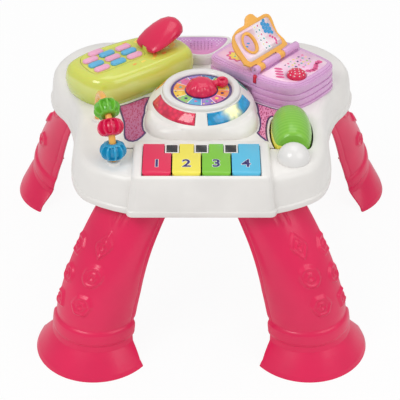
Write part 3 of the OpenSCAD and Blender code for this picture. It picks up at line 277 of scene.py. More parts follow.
def lamp_lens(name, rgb, glow=None, spot=(0, 0), size=0.0):
    """Translucent lens whose faceted back is shown by painted glints, cells lighter in the middle
    and darker at their edges, with a seven-rayed glow at one spot if it is lit.
    """
    f = Finish(name)
    colour = ink(*rgb)
    # painted glints: each facet cell is painted lighter in its middle and darker at its edge
    body = f.ramp(f.cells(150.0), [(0.0, shade(colour, 1.35)), (0.75, shade(colour, 0.8))])
    f.gloss(0.08, 0.16)
    f.bump(f.noise(300.0), 0.06, 0.0002)
    if glow:
        x, y, _ = f.axes()
        dx, dy = f.math("SUBTRACT", x, spot[0]), f.math("SUBTRACT", y, spot[1])
        rays = f.math("SINE", f.math("MULTIPLY", f.math("ARCTAN2", dy, dx), 7.0))
        reach = f.math("MULTIPLY_ADD", rays, size * 0.12, size)
        far = f.math("MINIMUM", f.math("DIVIDE", f.length(dx, dy), reach), 1.0)
        near = f.math("SUBTRACT", 1.0, far)
        body = f.mix(near, body, ink(*glow))
        light = f.ramp(near, [(0.25, (0, 0, 0, 1)), (0.95, (1.0, 0.92, 0.55, 1))])
        f.join(light, f.shader.inputs["Emission Color"])
        f.set(Emission_Strength=0.9)
    f.colour(body)
    return f.set(Coat_Weight=0.6, Coat_Roughness=0.05,
                 Subsurface_Weight=0.25, Subsurface_Scale=LIGHT_REACH)


def flecked_panel(name, rgb):
    """Pink printed film, dense with small crimson flecks lying all ways."""
    f = Finish(name)
    ground = ink(*rgb)
    layers = []
    for turn, reach in ((0.4, 0.34), (2.0, 0.3), (1.2, 0.26)):
        lie = f.place(Location=(turn, 0, 0), Scale=(1.0, 0.42, 1.0), Rotation=(0, 0, turn))
        layers.append(f.math("LESS_THAN", f.cells(380.0, lie), reach))
    flecks = f.math("MAXIMUM", f.math("MAXIMUM", layers[0], layers[1]), layers[2])
    base = f.ramp(f.noise(30.0), [(0.3, shade(ground, 0.95)), (0.7, shade(ground, 1.05))])
    f.colour(f.mix(flecks, base, ink(178, 48, 104)))
    f.gloss(0.3, 0.4)
    f.bump(f.noise(800.0), 0.05)
    return f.mat


def speaker_film():
    """Printed film that runs from pink at the front to lilac at the back."""
    f = Finish("speaker_film")
    back = f.remap(f.axes()[1], From_Min=0.09, From_Max=0.15)
    f.colour(f.ramp(back, [(0.0, ink(236, 150, 200)), (1.0, ink(206, 150, 214))]))
    f.gloss(0.3, 0.4)
    f.bump(f.noise(800.0), 0.05)
    return f.mat


DIAL_DARK_FROM, DIAL_DARK_TO = 0.0375, 0.0225    # inner radius of the border, outer of the hub


def dial_print():
    """Twelve sectors in six colours inside a dark border, around the dial's axis."""
    f = Finish("dial_print")
    x, y, _ = f.axes(f.place(Location=(0, -DIAL_Y * MM, 0)))
    turn = f.math("DIVIDE", f.math("ADD", f.math("ARCTAN2", y, x), math.pi), 2 * math.pi)
    inks = ((240, 196, 70), (132, 190, 88), (74, 164, 208), (150, 116, 196), (226, 112, 164),
            (244, 152, 82))
    half = f.math("FRACT", f.math("MULTIPLY", turn, 2.0))
    sectors = f.ramp(half, [(i / 6.0, ink(*c)) for i, c in enumerate(inks)], "CONSTANT")
    sector = f.math("FRACT", f.math("MULTIPLY", turn, 12.0))
    line = f.math("GREATER_THAN", f.math("ABSOLUTE", f.math("SUBTRACT", sector, 0.5)), 0.47)
    radius = f.length(x, y)
    dark = f.math("MAXIMUM", f.math("GREATER_THAN", radius, DIAL_DARK_FROM),
                  f.math("LESS_THAN", radius, DIAL_DARK_TO))
    f.colour(f.mix(dark, f.mix(line, sectors, ink(238, 232, 240)), ink(88, 62, 132)))
    f.gloss(0.18, 0.28)
    f.bump(f.noise(900.0), 0.04)
    return f.set(Coat_Weight=0.3, Coat_Roughness=0.1)


def ribbed_green():
    """Green barrel with fine raised rings."""
    f = Finish("ribbed_green")
    wave = f.node("ShaderNodeTexWave", wave_type="BANDS", bands_direction="Y")
    wave.inputs["Scale"].default_value = 55.0
    f.join(f.coord, wave.inputs["Vector"])
    rings = wave.outputs["Fac"]
    f.colour(f.ramp(rings, [(0.0, ink(124, 192, 56)), (1.0, ink(136, 200, 66))]))
    f.gloss(0.2, 0.3)
    f.bump(rings, 0.12, 0.0002)
    return f.set(Coat_Weight=0.3, Coat_Roughness=0.1)


def page_paper(name, first, second):
    """Printed page in two soft colours that run into each other."""
    f = Finish(name)
    f.colour(f.ramp(f.noise(26.0), [(0.35, ink(*first)), (0.65, ink(*second))]))
    f.gloss(0.24, 0.34)
    f.bump(f.noise(800.0), 0.05)
    return f.set(Coat_Weight=0.2, Coat_Roughness=0.15)


for special in (
        drawn_steel(), circuit_board(), cell_sleeve(), lime_with_painted_sheen(), speaker_film(),
        dial_print(), ribbed_green(),
        lamp_lens("lens_red", (222, 44, 84)),
        lamp_lens("lens_blue", (0, 156, 212), (255, 240, 130), (0.04, -0.069), 0.018),
        lamp_lens("lens_amber", (248, 168, 60)),
        lamp_lens("lens_teal", (60, 172, 150)),
        flecked_panel("left_film", (190, 108, 150)),
        flecked_panel("right_film", (232, 150, 186)),
        page_paper("page_pink", (250, 214, 230), (252, 236, 240)),
        page_paper("sheet_pink", (240, 186, 222), (250, 222, 236)),
        page_paper("sheet_lilac", (226, 176, 220), (244, 196, 214))):
    finishes[special.name] = special


# ---- mesh helpers ----

PRINT_THICK = 0.16


def show(obj):
    bpy.context.scene.collection.objects.link(obj)
    return obj


def piece(name, mesh, finish, body="table"):
    """A visible piece with that finish, riding on a body."""
    obj = show(bpy.data.objects.new(name, mesh))
    obj.data.materials.append(finishes[finish])
    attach(obj, body)
    return obj


def mesh_from(bm, name):
    """The mesh of a bmesh, which is freed."""
    mesh = bpy.data.meshes.new(name)
    bm.to_mesh(mesh)
    bm.free()
    return mesh


def smooth(mesh, sharp=None):
    """Smooth shading, kept sharp at edges past an angle in degrees."""
    for p in mesh.polygons:
        p.use_smooth = True
    if sharp:
        mesh.set_sharp_from_angle(angle=math.radians(sharp))
    return mesh


def baked(obj):
    """The mesh that an object makes; the object is removed."""
    show(obj)
    deps = bpy.context.evaluated_depsgraph_get()
    mesh = bpy.data.meshes.new_from_object(obj.evaluated_get(deps))
    bpy.data.objects.remove(obj)
    return mesh


def circle(n):
    return [2 * math.pi * i / n for i in range(n)]


def bridge(bm, rings):
    """Quads between each ring of vertices and the next."""
    for r0, r1 in zip(rings, rings[1:]):
        for i in range(len(r0)):
            j = (i + 1) % len(r0)
            bm.faces.new((r0[i], r0[j], r1[j], r1[i]))


def closed_shell(bm, rings):
    """Quads between the rings, and a face on the first and on the last."""
    bridge(bm, rings)
    bm.faces.new(list(reversed(rings[0])))
    bm.faces.new(rings[-1])


def merged(node):
    """A clean copy of a CAD node's surface, with its flat areas joined."""
    bm = bmesh.new()
    bm.from_mesh(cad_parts[node].data)
    bmesh.ops.remove_doubles(bm, verts=bm.verts, dist=2e-6)
    bmesh.ops.dissolve_limit(bm, angle_limit=math.radians(0.6), verts=bm.verts, edges=bm.edges)
    return bm


def upper_face(bm):
    """The largest face that looks up."""
    return max(bm.faces, key=lambda f: (f.normal.z > 0.9) * f.calc_area())


def soften(obj, width, angle, segments):
    b = obj.modifiers.new("edge rounding", "BEVEL")
    b.limit_method = "ANGLE"
    b.angle_limit = math.radians(angle)
    b.width = width * MM
    b.segments = segments
    b.use_clamp_overlap = True
    b.harden_normals = True


def dress(node, body, finish, width=0.6, segments=2, reshape=None, angle=34.0):
    """The CAD node's shape with rounded edges and its finish; it stands for the node."""
    bm = merged(node)
    if reshape:
        reshape(bm)
    mesh = smooth(mesh_from(bm, node + "_skin"))
    obj = piece(node + "_skin", mesh, finish, body)
    if width:
        soften(obj, width, angle, segments)
    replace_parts(obj, node)


def paint(node, finish):
    """Gives a CAD node that no skin stands for its finish."""
    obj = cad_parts[node]
    for slot in obj.material_slots:
        slot.material = finishes[finish]
    if not obj.material_slots:
        obj.data.materials.append(finishes[finish])


def prints(name, marks, finish, body, z, matrix, bend=None):
    """Many small printed marks in one mesh: sides, place, two radii, turn and lobes of each."""
    bm = bmesh.new()
    for sides, x, y, rx, ry, turn, lobes in marks:
        rings = ([], [])
        for a in circle(sides):
            k = 1 + 0.12 * math.cos(lobes * a) if lobes else 1.0
            u, v = rx * k * math.cos(a), ry * k * math.sin(a)
            px = x + u * math.cos(turn) - v * math.sin(turn)
            py = y + u * math.sin(turn) + v * math.cos(turn)
            lift = bend(px) if bend else 0.0
            for ring, h in zip(rings, (z, z + PRINT_THICK)):
                ring.append(bm.verts.new((px * MM, py * MM, (h + lift) * MM)))
        closed_shell(bm, rings)
    bm.transform(matrix)
    piece(name, mesh_from(bm, name), finish, body)


# ---- repeated motifs, by geometry nodes ----

MOTIF_INPUTS = (("Points", "Geometry"), ("Motif Radius", "Float"), ("Motif Sides", "Int"),
                ("Motif Height", "Float"), ("Turn", "Float"), ("Size Spread", "Float"),
                ("Seed", "Int"))


def motif_tree(name, material):
    """Stands a thin prism on every point of the mesh it is given."""
    tree = bpy.data.node_groups.new(name, "GeometryNodeTree")
    face = tree.interface
    for label, kind in MOTIF_INPUTS:
        face.new_socket(name=label, in_out="INPUT", socket_type="NodeSocket" + kind)
    face.new_socket(name="Motifs", in_out="OUTPUT", socket_type="NodeSocketGeometry")
    add, link = tree.nodes.new, tree.links.new
    given = add("NodeGroupInput").outputs
    prism = add("GeometryNodeMeshCylinder")
    link(given["Motif Radius"], prism.inputs["Radius"])
    link(given["Motif Sides"], prism.inputs["Vertices"])
    link(given["Motif Height"], prism.inputs["Depth"])
    # sizes lie between 1 - spread and 1
    low = add("ShaderNodeMath")
    low.operation = "SUBTRACT"
    low.inputs[0].default_value = 1.0
    link(given["Size Spread"], low.inputs[1])
    spread = add("FunctionNodeRandomValue")
    spread.data_type = "FLOAT"
    least, most = [s for s in spread.inputs if s.type == "VALUE"][:2]
    link(low.outputs[0], least)
    most.default_value = 1.0
    link(given["Seed"], spread.inputs["Seed"])
    turned = add("ShaderNodeCombineXYZ")
    link(given["Turn"], turned.inputs["Z"])
    stand = add("GeometryNodeInstanceOnPoints")
    link(given["Points"], stand.inputs["Points"])
    link(prism.outputs["Mesh"], stand.inputs["Instance"])
    link(turned.outputs[0], stand.inputs["Rotation"])
    link([s for s in spread.outputs if s.type == "VALUE"][0], stand.inputs["Scale"])
    real = add("GeometryNodeRealizeInstances")
    link(stand.outputs["Instances"], real.inputs["Geometry"])
    inked = add("GeometryNodeSetMaterial")
    inked.inputs["Material"].default_value = material
    link(real.outputs["Geometry"], inked.inputs["Geometry"])
    link(inked.outputs["Geometry"], add("NodeGroupOutput").inputs["Motifs"])
    return tree


def motifs(name, points, finish, body, radius, sides, height, turn=0.0, spread=0.0,
           seed=1, matrix=None):
    """Small printed or raised shapes on points."""
    mesh = bpy.data.meshes.new(name + "_points")
    mesh.from_pydata([(x * MM, y * MM, z * MM) for x, y, z in points], [], [])
    host = bpy.data.objects.new(name + "_host", mesh)
    mod = host.modifiers.new("motifs", "NODES")
    mod.node_group = motif_tree(name + "_tree", finishes[finish])
    wanted = {"Motif Radius": radius * MM, "Motif Sides": sides, "Motif Height": height * MM,
              "Turn": turn, "Size Spread": spread, "Seed": seed}
    for item in mod.node_group.interface.items_tree:
        if item.item_type == "SOCKET" and item.in_out == "INPUT" and item.name in wanted:
            mod[item.identifier] = wanted[item.name]
    made = baked(host)
    if matrix:
        made.transform(matrix)
    made.name = name
    made.materials.clear()
    piece(name, made, finish, body)


# ---- legs ----

# For a right leg: foot and top of its axis, directions in degrees where its skin ends, how much
# farther round it reaches at the foot, strength of tilt, bow and inner reach, and its ribs
FRONT = dict(foot=(144.5, -184), top=(75, -124), ends=(-144, -12), extra=36, tilt=0.06,
             bow=2.3, wrap=1.0, ribs=(-84, -74, -64, -20, -11))
REAR = dict(foot=(204, 184 + 82 * (1 - math.sin(math.radians(77)))), top=(134, 106),
            ends=(-57, 55), extra=22, tilt=0.36, bow=1.9, wrap=0.6, ribs=(-14, -4, 6))
# Height, radius and share of the tilt of a leg's sections
LEG_SECTIONS = [
    (0, 82, 0), (5, 79.5, 0.1), (14, 72.5, 0.35), (22, 66, 0.65), (30, 59.4, 0.9), (36, 57.6, 1),
    (38, 57.4, 1), (39.5, 58.4, 1), (43, 59, 1), (51, 58.6, 1), (55, 58, 1), (57.5, 56.8, 1),
    (59.5, 55, 1), (62, 54.6, 1), (70, 55, 0.95), (95, 54.8, 0.75), (130, 54, 0.35),
    (170, 53, 0), (205, 52.2, 0), (222, 51.6, 0), (RIM, 50.5, 0)]
# Height and how many degrees farther round the inner edge reaches there
LEG_WRAP = [(0, 0), (8, 0), (40, 10), (65, 14), (100, 19), (125, 16), (150, 11.5), (185, 6),
            (210, 0.5), (RIM, 0)]
LEG_WALL = 3.0
LEG_COLUMNS, LEG_ROWS = 168, 230    # grid of the outer face
COARSER = 4                         # the inner face has so many times fewer columns
FOOT_HEIGHT = 95.0                  # the extra reach at the foot ends here
EDGE_ROUND = 1.2
FLARE_WIDTH, FLARE_LIFT = 7.5, 1.9  # turned-out band along the inner edge, above the ankle
GROOVE_AT, GROOVE_HALF, GROOVE_DEPTH = 9.0, 1.1, 0.6
RIB_HALF, RIB_LIFT = 1.7, 1.3       # ribs under the table top, wavy in height
SHAPE_LIFT = 3.9
# Kind of shape, its direction from the leg's axis on a right leg, height and size
FRONT_SHAPES = [("diamond", -66, 178, 15), ("ring", -68, 139, 15.5), ("hexagon", -64, 97, 15),
                ("hexagon", -22, 166, 13), ("ring", -25, 128, 13), ("square", -20, 90, 12)]
REAR_SHAPES = [("ring", -12, 180, 13), ("diamond", 8, 144, 13), ("hexagon", -16, 108, 13)]


def ramp01(x, a, b):
    """Smooth step from 0 at a to 1 at b."""
    t = np.clip((x - a) / (b - a), 0.0, 1.0)
    return t * t * (3 - 2 * t)


def swell(x, middle, half, height):
    """A rounded ridge of that height and half width."""
    return height * np.exp(-((x - middle) / half) ** 2)


def raised(kind, u, v, size):
    """Height share of one nested raised shape at u, v millimetres from its middle."""
    parts, power = {
        "ring": ((u, v), 2.0),
        "diamond": ((u * 1.1 + v * 0.8, u * 1.1 - v * 0.8), 7.0),
        "hexagon": ((v, u * 0.866 + v * 0.5, u * 0.866 - v * 0.5), 14.0),
        "square": ((u + v * 0.2, v - u * 0.2), 6.0),
    }[kind]
    d = sum(np.abs(w) ** power for w in parts) ** (1 / power)
    plateau = 0.42 * ramp01(size - d, -1.2, 2.2)
    rims = swell(d, 0.74 * size, 1.7, 0.42) + swell(d, 0.3 * size, 1.5, 0.4)
    return plateau + rims - swell(d, 0.0, 1.3, 0.25)


def leg_relief(spec, shapes, z, radius, turn, around, part):
    """How far the outer face lies outside its section: edges, ribs and raised shapes."""
    arc = (turn[:, -1:] - turn[:, :1]) * radius
    edge, reach = np.minimum(part, 1 - part) * arc, part * arc
    flare = (FLARE_LIFT * np.clip(1 - reach / FLARE_WIDTH, 0, 1)
             - swell(reach, GROOVE_AT, GROOVE_HALF, GROOVE_DEPTH))
    relief = ramp01(z, 58.0, 66.0) * flare - (1 - ramp01(edge, 0.0, EDGE_ROUND))
    for rib in spec["ribs"]:
        off = (turn - math.radians(rib)) * radius + 2.5 * np.sin(z / 9.0)
        relief = relief + swell(off, 0.0, RIB_HALF, RIB_LIFT) * ramp01(z, 199.0, 210.0)
    for kind, angle, height, size in shapes:
        off = (np.degrees(around) - angle + 180) % 360 - 180
        lift = raised(kind, np.radians(off) * radius, z - height, size)
        relief = relief + SHAPE_LIFT * lift * ramp01(edge, 1.0, 4.0)
    return relief


def build_leg(name, side, spec, shapes):
    """One bowed leg shell with ankle band and raised shapes, outer face finely meshed."""
    foot, top = spec["foot"], spec["top"]
    lean = (foot[0] - top[0], foot[1] - top[1])
    up = math.atan2(lean[1], side * lean[0])
    levels = {float(s[0]) for s in LEG_SECTIONS} | {RIM * i / LEG_ROWS for i in range(LEG_ROWS + 1)}
    heights = np.array(sorted(levels))
    z = heights[:, None]
    table = np.array(LEG_SECTIONS, dtype=float)
    radius = np.interp(heights, table[:, 0], table[:, 1])[:, None]
    weight = np.interp(heights, table[:, 0], table[:, 2])[:, None]
    share = (z / RIM) ** spec["bow"]
    cx, cy = side * (foot[0] - lean[0] * share), foot[1] - lean[1] * share
    wrap = np.interp(heights, *zip(*LEG_WRAP))[:, None]
    lo = np.radians(spec["ends"][0] - spec["wrap"] * wrap)
    hi = np.radians(spec["ends"][1] + spec["extra"] * np.maximum(0.0, 1 - z / FOOT_HEIGHT))
    verts, faces, grids, start = [], [], [], 0
    for wall, n in ((0.0, LEG_COLUMNS), (LEG_WALL, LEG_COLUMNS // COARSER)):
        part = np.linspace(0.0, 1.0, n + 1)[None, :]
        turn = lo + (hi - lo) * part
        around = turn if side > 0 else math.pi - turn
        r = np.repeat(radius - wall, n + 1, axis=1)
        if not wall:
            r = r + leg_relief(spec, shapes, z, radius, turn, around, part)
        tilted = z + spec["tilt"] * weight * r * np.cos(around - up)
        grid = np.stack([cx + r * np.cos(around), cy + r * np.sin(around), tilted], axis=-1) * MM
        verts.append(grid.reshape(-1, 3))
        idx = start + np.arange(len(heights) * (n + 1)).reshape(len(heights), n + 1)
        corners = (idx[:-1, :-1], idx[:-1, 1:], idx[1:, 1:], idx[1:, :-1])
        faces += np.stack(corners, axis=-1).reshape(-1, 4).tolist()
        grids.append(idx.tolist())
        start += len(heights) * (n + 1)
    outer, inner = grids
    for k in range(len(heights) - 1):
        for e in (0, -1):
            faces.append([outer[k][e], outer[k + 1][e], inner[k + 1][e], inner[k][e]])
    for k in (0, -1):
        for j in range(LEG_COLUMNS // COARSER):
            faces.append(outer[k][COARSER * j:COARSER * (j + 1) + 1]
                         + [inner[k][j + 1], inner[k][j]])
    mesh = bpy.data.meshes.new(name)
    mesh.from_pydata(np.concatenate(verts).tolist(), [], faces)
    bm = bmesh.new()
    bm.from_mesh(mesh)
    bmesh.ops.recalc_face_normals(bm, faces=bm.faces)
    bm.to_mesh(mesh)
    bm.free()
    return piece(name, smooth(mesh, 50), "leg_plastic")


for end, spec, shapes in (("front", FRONT, FRONT_SHAPES), ("rear", REAR, REAR_SHAPES)):
    for hand, side in (("left", -1), ("right", 1)):
        node = "leg_%s_%s" % (end, hand)
        placed = [(kind, turn if side > 0 else 180 - turn, height, size)
                  for kind, turn, height, size in shapes]
        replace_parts(build_leg(node + "_skin", side, spec, placed), node)

# ---- casing, and the pieces inside it ----

dress("top_shell", "table", "white_shell", 0.8)
dress("dome_housing", "table", "white_shell")
dress("dial_bezel", "table", "white_gloss", 0.5)
dress("speaker_housing", "table", "white_shell")
dress("roller_cap", "table", "white_gloss", 0.5)
dress("roller_rear_bearing", "table", "white_shell")
for finish, nodes in (
        ("cover_grain", ("bottom_cover", "battery_door")),
        ("drawn_steel", ("key_rod", "dial_spindle", "handset_pin", "page_hinge_pin",
                         "roller_axle", "battery_door_screw", "casing_screws",
                         "battery_contacts")),
        ("circuit_board", ("main_board", "dial_board", "phone_board")),
        ("soft_rubber", ("key_contact_mat",)),
        ("black_gloss", ("speaker_driver", "power_switch")),
        ("cell_sleeve", ("batteries",))):
    for node in nodes:
        paint(node, finish)

# ---- keyboard ----

KEYS = (("red", -57, "key_crimson"), ("yellow", -19, "key_yellow_gloss"),
        ("green", 19, "key_green_gloss"), ("blue", 57, "key_blue_gloss"))
KEY_TOP = 290.0
NUMBER_Y = -171
NUMBER_SIZE = 17 * 1.35     # the face's digits are 1 / 1.35 of its size high
NUMBER_WEIGHT = 0.5


def numeral(text, x, key):
    """A printed number with a pale outline."""
    for label, grow, lift, finish in (("edge", 0.55, 0.12, "white_print"),
                                      ("face", 0.0, 0.26, "navy_print")):
        curve = bpy.data.curves.new("number_%s_%s" % (text, label), "FONT")
        curve.body = text
        curve.size = NUMBER_SIZE * MM
        curve.offset = (grow + NUMBER_WEIGHT) * MM
        curve.extrude = 0.08 * MM
        curve.align_x = "CENTER"
        curve.align_y = "CENTER"
        mesh = baked(bpy.data.objects.new("number_host", curve))
        mesh.transform(Matrix.Translation((x * MM, NUMBER_Y * MM, (KEY_TOP + lift) * MM)))
        piece("number_%s_%s" % (text, label), mesh, finish, key)


for i, (colour, x, finish) in enumerate(KEYS):
    dress("key_" + colour, "key_" + colour, finish, 1.6, 3)
    numeral(str(i + 1), x, "key_" + colour)
dress("black_key_inserts", "table", "black_gloss", 0.5)

# ---- dial ----

KNOB_SEAT = DECK + 32.7
KNOB_LOBES = 9
KNOB_PROFILE = [(20.4, 0), (21, 0.7), (21, 2.5), (20.7, 4.4), (20, 6.5), (18.7, 8.8), (17, 10.5),
                (15, 12.0), (13, 12.8), (12.2, 12.9), (11.4, 13.3), (10, 14.2), (8, 14.7),
                (5.5, 14.95), (2.5, 15), (0.4, 15)]
ARM_SECTIONS = ((13, 5.2, 4.8), (18, 4.8, 4.7), (22, 4.2, 4.5), (25.5, 4.2, 4.5))
ARM_Z = 5.7
ARM_TURN = 21
LOOP_X, LOOP_Z = 30, 6              # middle of the loop at the arm's end
LOOP_R, LOOP_HALF_W, LOOP_HALF_H = 5.6, 2.85, 4.9
MARKS_Z = DECK + 32.24              # middle of the prints on the disc
MARKS_R, DOTS_R = 29, 34.5

dress("dial_disc", "table", "dial_print", 0.2, 1)


def build_knob():
    """Lobed hub with an arm that ends in a loop."""
    bm = bmesh.new()
    rings = []
    for r, z in KNOB_PROFILE:
        depth = 0.13 * float(ramp01(z, 1.5, 5.0) * ramp01(-z, -12.9, -11.6))
        ring = []
        for a in circle(108):
            k = r * (1 - depth * (0.5 + 0.5 * math.cos(KNOB_LOBES * a)) ** 1.6)
            ring.append(bm.verts.new(Vector((k * math.cos(a), k * math.sin(a), z)) * MM))
        rings.append(ring)
    closed_shell(bm, rings)
    # the arm and its loop lie along x here and are turned afterwards
    arm = bmesh.new()
    closed_shell(arm, [[arm.verts.new(Vector((x, w * math.cos(a), ARM_Z + h * math.sin(a))) * MM)
                        for a in circle(24)] for x, w, h in ARM_SECTIONS])
    loop = []
    for a in circle(48):
        loop.append([])
        for b in circle(20):
            r = LOOP_R + LOOP_HALF_W * math.cos(b)
            spot = (LOOP_X + r * math.cos(a), r * math.sin(a), LOOP_Z + LOOP_HALF_H * math.sin(b))
            loop[-1].append(arm.verts.new(Vector(spot) * MM))
    bridge(arm, loop + loop[:1])
    arm.transform(Matrix.Rotation(math.radians(ARM_TURN), 4, "Z"))
    spare = mesh_from(arm, "knob_arm")
    bm.from_mesh(spare)
    bpy.data.meshes.remove(spare)
    bmesh.ops.recalc_face_normals(bm, faces=bm.faces)
    bm.transform(Matrix.Translation((0, DIAL_Y * MM, KNOB_SEAT * MM)))
    mesh = smooth(mesh_from(bm, "dial_knob_skin"), 60)
    skin = piece("dial_knob_skin", mesh, "crimson_gloss", "dial")
    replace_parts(skin, "dial_knob")


build_knob()
for colour in ("red", "blue", "amber", "teal"):
    node = "light_button_" + colour
    dress(node, node, "lens_" + colour)
# Sides, finish and radius of the marks in every fourth sector
for k, (sides, finish, size) in enumerate(((3, "rose_print", 2.9), (4, "teal_print", 2.7),
                                           (16, "yellow_print", 2.5), (6, "navy_print", 2.4))):
    spots, small = [], []
    for j in range(3):
        a = math.radians(15 + 30 * (k + 4 * j))
        spots.append((MARKS_R * math.cos(a), DIAL_Y + MARKS_R * math.sin(a), MARKS_Z))
        for b in (a + 1.73, a + 1.4):
            small.append((DOTS_R * math.cos(b), DIAL_Y + DOTS_R * math.sin(b), MARKS_Z))
    motifs("dial_marks_%d" % k, spots, finish, "table", size, sides,
           PRINT_THICK, 0.3 * k)
    motifs("dial_dots_%d" % k, small, finish, "table", 1.3, 5 + k,
           PRINT_THICK, 0.2 * k)

# ---- telephone ----

dress("phone_case", "table", "lime_gloss", 0.8)
dress("phone_keypad", "keypad", "lime_pad", 0.4)
dress("phone_keys_pink", "keypad", "cap_pink", 0.5)
dress("phone_keys_blue", "keypad", "cap_blue", 0.5)
dress("handset", "handset", "crimson_gloss", 0.8, 3)
PHONE = (Matrix.Translation((-0.1, 0.052, (DECK + 41) * MM))
         @ Matrix.Rotation(math.radians(38.5), 4, "Z"))
prints("phone_print_yellow",
       [(20, 32, 22, 8, 4, 0.2, 5), (16, 4, -28, 4, 2, 0.1, 3), (16, 62, -16, 8, 5, 0.8, 4),
        (12, -58, 27, 4, 2, 0.3, 3), (16, 20, -30, 3, 2, 0, 0)],
       "yellow_print", "table", -0.02, PHONE)
prints("phone_print_orange",
       [(20, 27, -24, 6, 3, 0.9, 5), (16, 12, 27, 4, 2, 0.3, 3), (12, -10, -27, 3.4, 1.6, 0, 0),
        (16, 40, -28, 4, 2.2, 0.3, 4), (12, 50, 18, 5, 2.6, 0.4, 3)],
       "orange_print", "table", 0.02, PHONE)

# ---- book ----

BOOK = Matrix.Translation((0.101, 0.036, DECK * MM)) @ Matrix.Rotation(math.radians(-41), 4, "Z")
SPINE = BOOK @ Matrix.Translation((0, 0, 0.0439))
PAGE = SPINE @ Matrix.Rotation(math.radians(227), 4, "Y")
PAGE_BACK = PAGE.inverted()
BOW_FROM, BOW_LENGTH, BOW_HEIGHT = 8, 52, 3.6
BOW_END, BOW_CUTS = 61, 16          # the page is cut this often over this length, so it bends
PAGE_FACE = -1.24                   # level of the first print on the page
SHEET_FACE = 38.58                  # level of the first print on the lying sheets
LAYER = 0.1                         # rise of each print that lies on another

dress("book_case", "table", "lilac_gloss", 0.5)
dress("book_left_print", "table", "sheet_lilac", 0.15, 1)
dress("book_right_print", "table", "sheet_pink", 0.15, 1)
dress("berry_button", "berry_button", "crimson_gloss")
dress("page_sensor_pin", "page_sensor", "red_pin", 0.4)


def page_bow(x):
    """How far the page bulges at x from its hinge."""
    share = (x - BOW_FROM) / BOW_LENGTH
    return BOW_HEIGHT * math.sin(math.pi * min(1.18, max(0.0, share)))


def bow_page(bm):
    """Bows the page between the hinge and its free edge."""
    bm.transform(PAGE_BACK)
    for k in range(1, BOW_CUTS):
        x = (BOW_FROM + BOW_END * k / BOW_CUTS) * MM
        geom = bm.verts[:] + bm.edges[:] + bm.faces[:]
        bmesh.ops.bisect_plane(bm, geom=geom, plane_co=(x, 0, 0), plane_no=(1, 0, 0))
    for v in bm.verts:
        v.co.z += page_bow(v.co.x / MM) * MM
    bm.transform(PAGE)


dress("page_frame", "page", "orange_gloss", 0.5, 2, bow_page, 40.0)
dress("page_print", "page", "page_pink", 0.0, 1, bow_page)
dress("page_window_ring", "page", "orange_gloss", 0.5, 2, bow_page, 40.0)


def on_page(name, marks, finish, z=PAGE_FACE):
    prints(name, marks, finish, "page", z, PAGE, page_bow)


def on_sheet(name, marks, finish, layer=0):
    prints(name, marks, finish, "table",
           SHEET_FACE + LAYER * layer, BOOK)


rng = random.Random(5)
field = [(x, y) for x in (18, 24.5, 31, 37.5, 44, 50.5) for y in (-3, 3.5)]
on_page("page_tiles", [(4, x, y, 3.9, 3.9, math.pi / 4, 0) for x, y in field], "white_print")
for k, colour in enumerate(("navy", "teal", "yellow", "rose")):
    on_page("page_signs_" + colour,
            [(3 + (k + i) % 4, x, y, 1.7, 1.3, rng.uniform(0, 3), 0)
             for i, (x, y) in enumerate(field) if i % 4 == k],
            colour + "_print", PAGE_FACE - PRINT_THICK)
on_page("page_blue_cluster",
        [(6, 33 + 5.6 * i + 2.8 * (j % 2), 12.5 + 4.9 * j, 3.1, 3.1, 0.52, 0)
         for i in range(4) for j in range(3) if (i, j) not in ((0, 0), (3, 2))], "sky_print")
on_page("page_rose_band",
        [(16, 17 + 3.2 * i, 18 + 3 * math.sin(i), 2.0, 1.6, 0.4 * i, 0) for i in range(5)],
        "rose_print")

spots = [(x, y) for x in (17, 24, 31) for y in (2, 8, 14, 20, 26, 32, 38)]
spots += [(38, y) for y in (14, 20, 26, 32)]
for k, colour in enumerate(("navy", "rose", "teal", "yellow", "lime")):
    on_sheet("sheet_signs_%d" % k,
             [(3 + (i + k) % 4, x + rng.uniform(-0.8, 0.8), y + rng.uniform(-0.8, 0.8), 2.0, 1.5,
               rng.uniform(0, 3), 0) for i, (x, y) in enumerate(spots) if i % 5 == k],
             colour + "_print")
on_sheet("sheet_rose_wave", [(18, 50 + 4 * math.sin(i * 0.9), 10 + 5 * i, 4.2, 3.2, 0.5 * i, 3)
                             for i in range(7)], "rose_print")
on_sheet("sheet_rose_fan", [(16, 16 + 5 * i, -12 - 5 * i, 5.4, 3, 0.5, 2) for i in range(4)],
         "rose_print")
on_sheet("sheet_rosette_edge", [(72, -47, -21, 16, 14, 0.3, 9)], "rose_print")
on_sheet("sheet_rosette_face", [(72, -47, -21, 12.5, 10.8, 0.3, 9)], "yellow_print", 1)
on_sheet("sheet_rosette_dots", [(12, -47 + 6 * math.cos(a), -21 + 5 * math.sin(a), 1.5, 1.5, 0, 0)
                                for a in (0.4, 1.65, 2.9, 4.2, 5.4)], "teal_print", 2)
on_sheet("sheet_green_dots",
         [(12, -30 + rng.uniform(-6, 6), y + rng.uniform(-2, 2), 2.6, 2.0, rng.uniform(0, 3), 3)
          for y in range(-34, 40, 8)], "lime_print")
on_sheet("sheet_sky_dots", [(12, -58 + rng.uniform(-6, 6), y, 2.4, 2.0, rng.uniform(0, 3), 0)
                            for y in range(6, 44, 8)], "sky_print")

# Rings of seeds on the berry: how many, how far out and how high
seeds = []
for ring, (count, r, z) in enumerate(((11, 11.6, 43.5), (8, 8.2, 45.6), (4, 4.0, 46.35))):
    for i in range(count):
        a = 2 * math.pi * (i + 0.5 * ring) / count
        seeds.append((45 + r * math.cos(a), -9 + r * math.sin(a), z))
motifs("berry_seeds", seeds, "white_print", "berry_button", 0.9, 8, 0.7,
       0.3, 0.3, 4, BOOK)

# ---- beads and roller ----

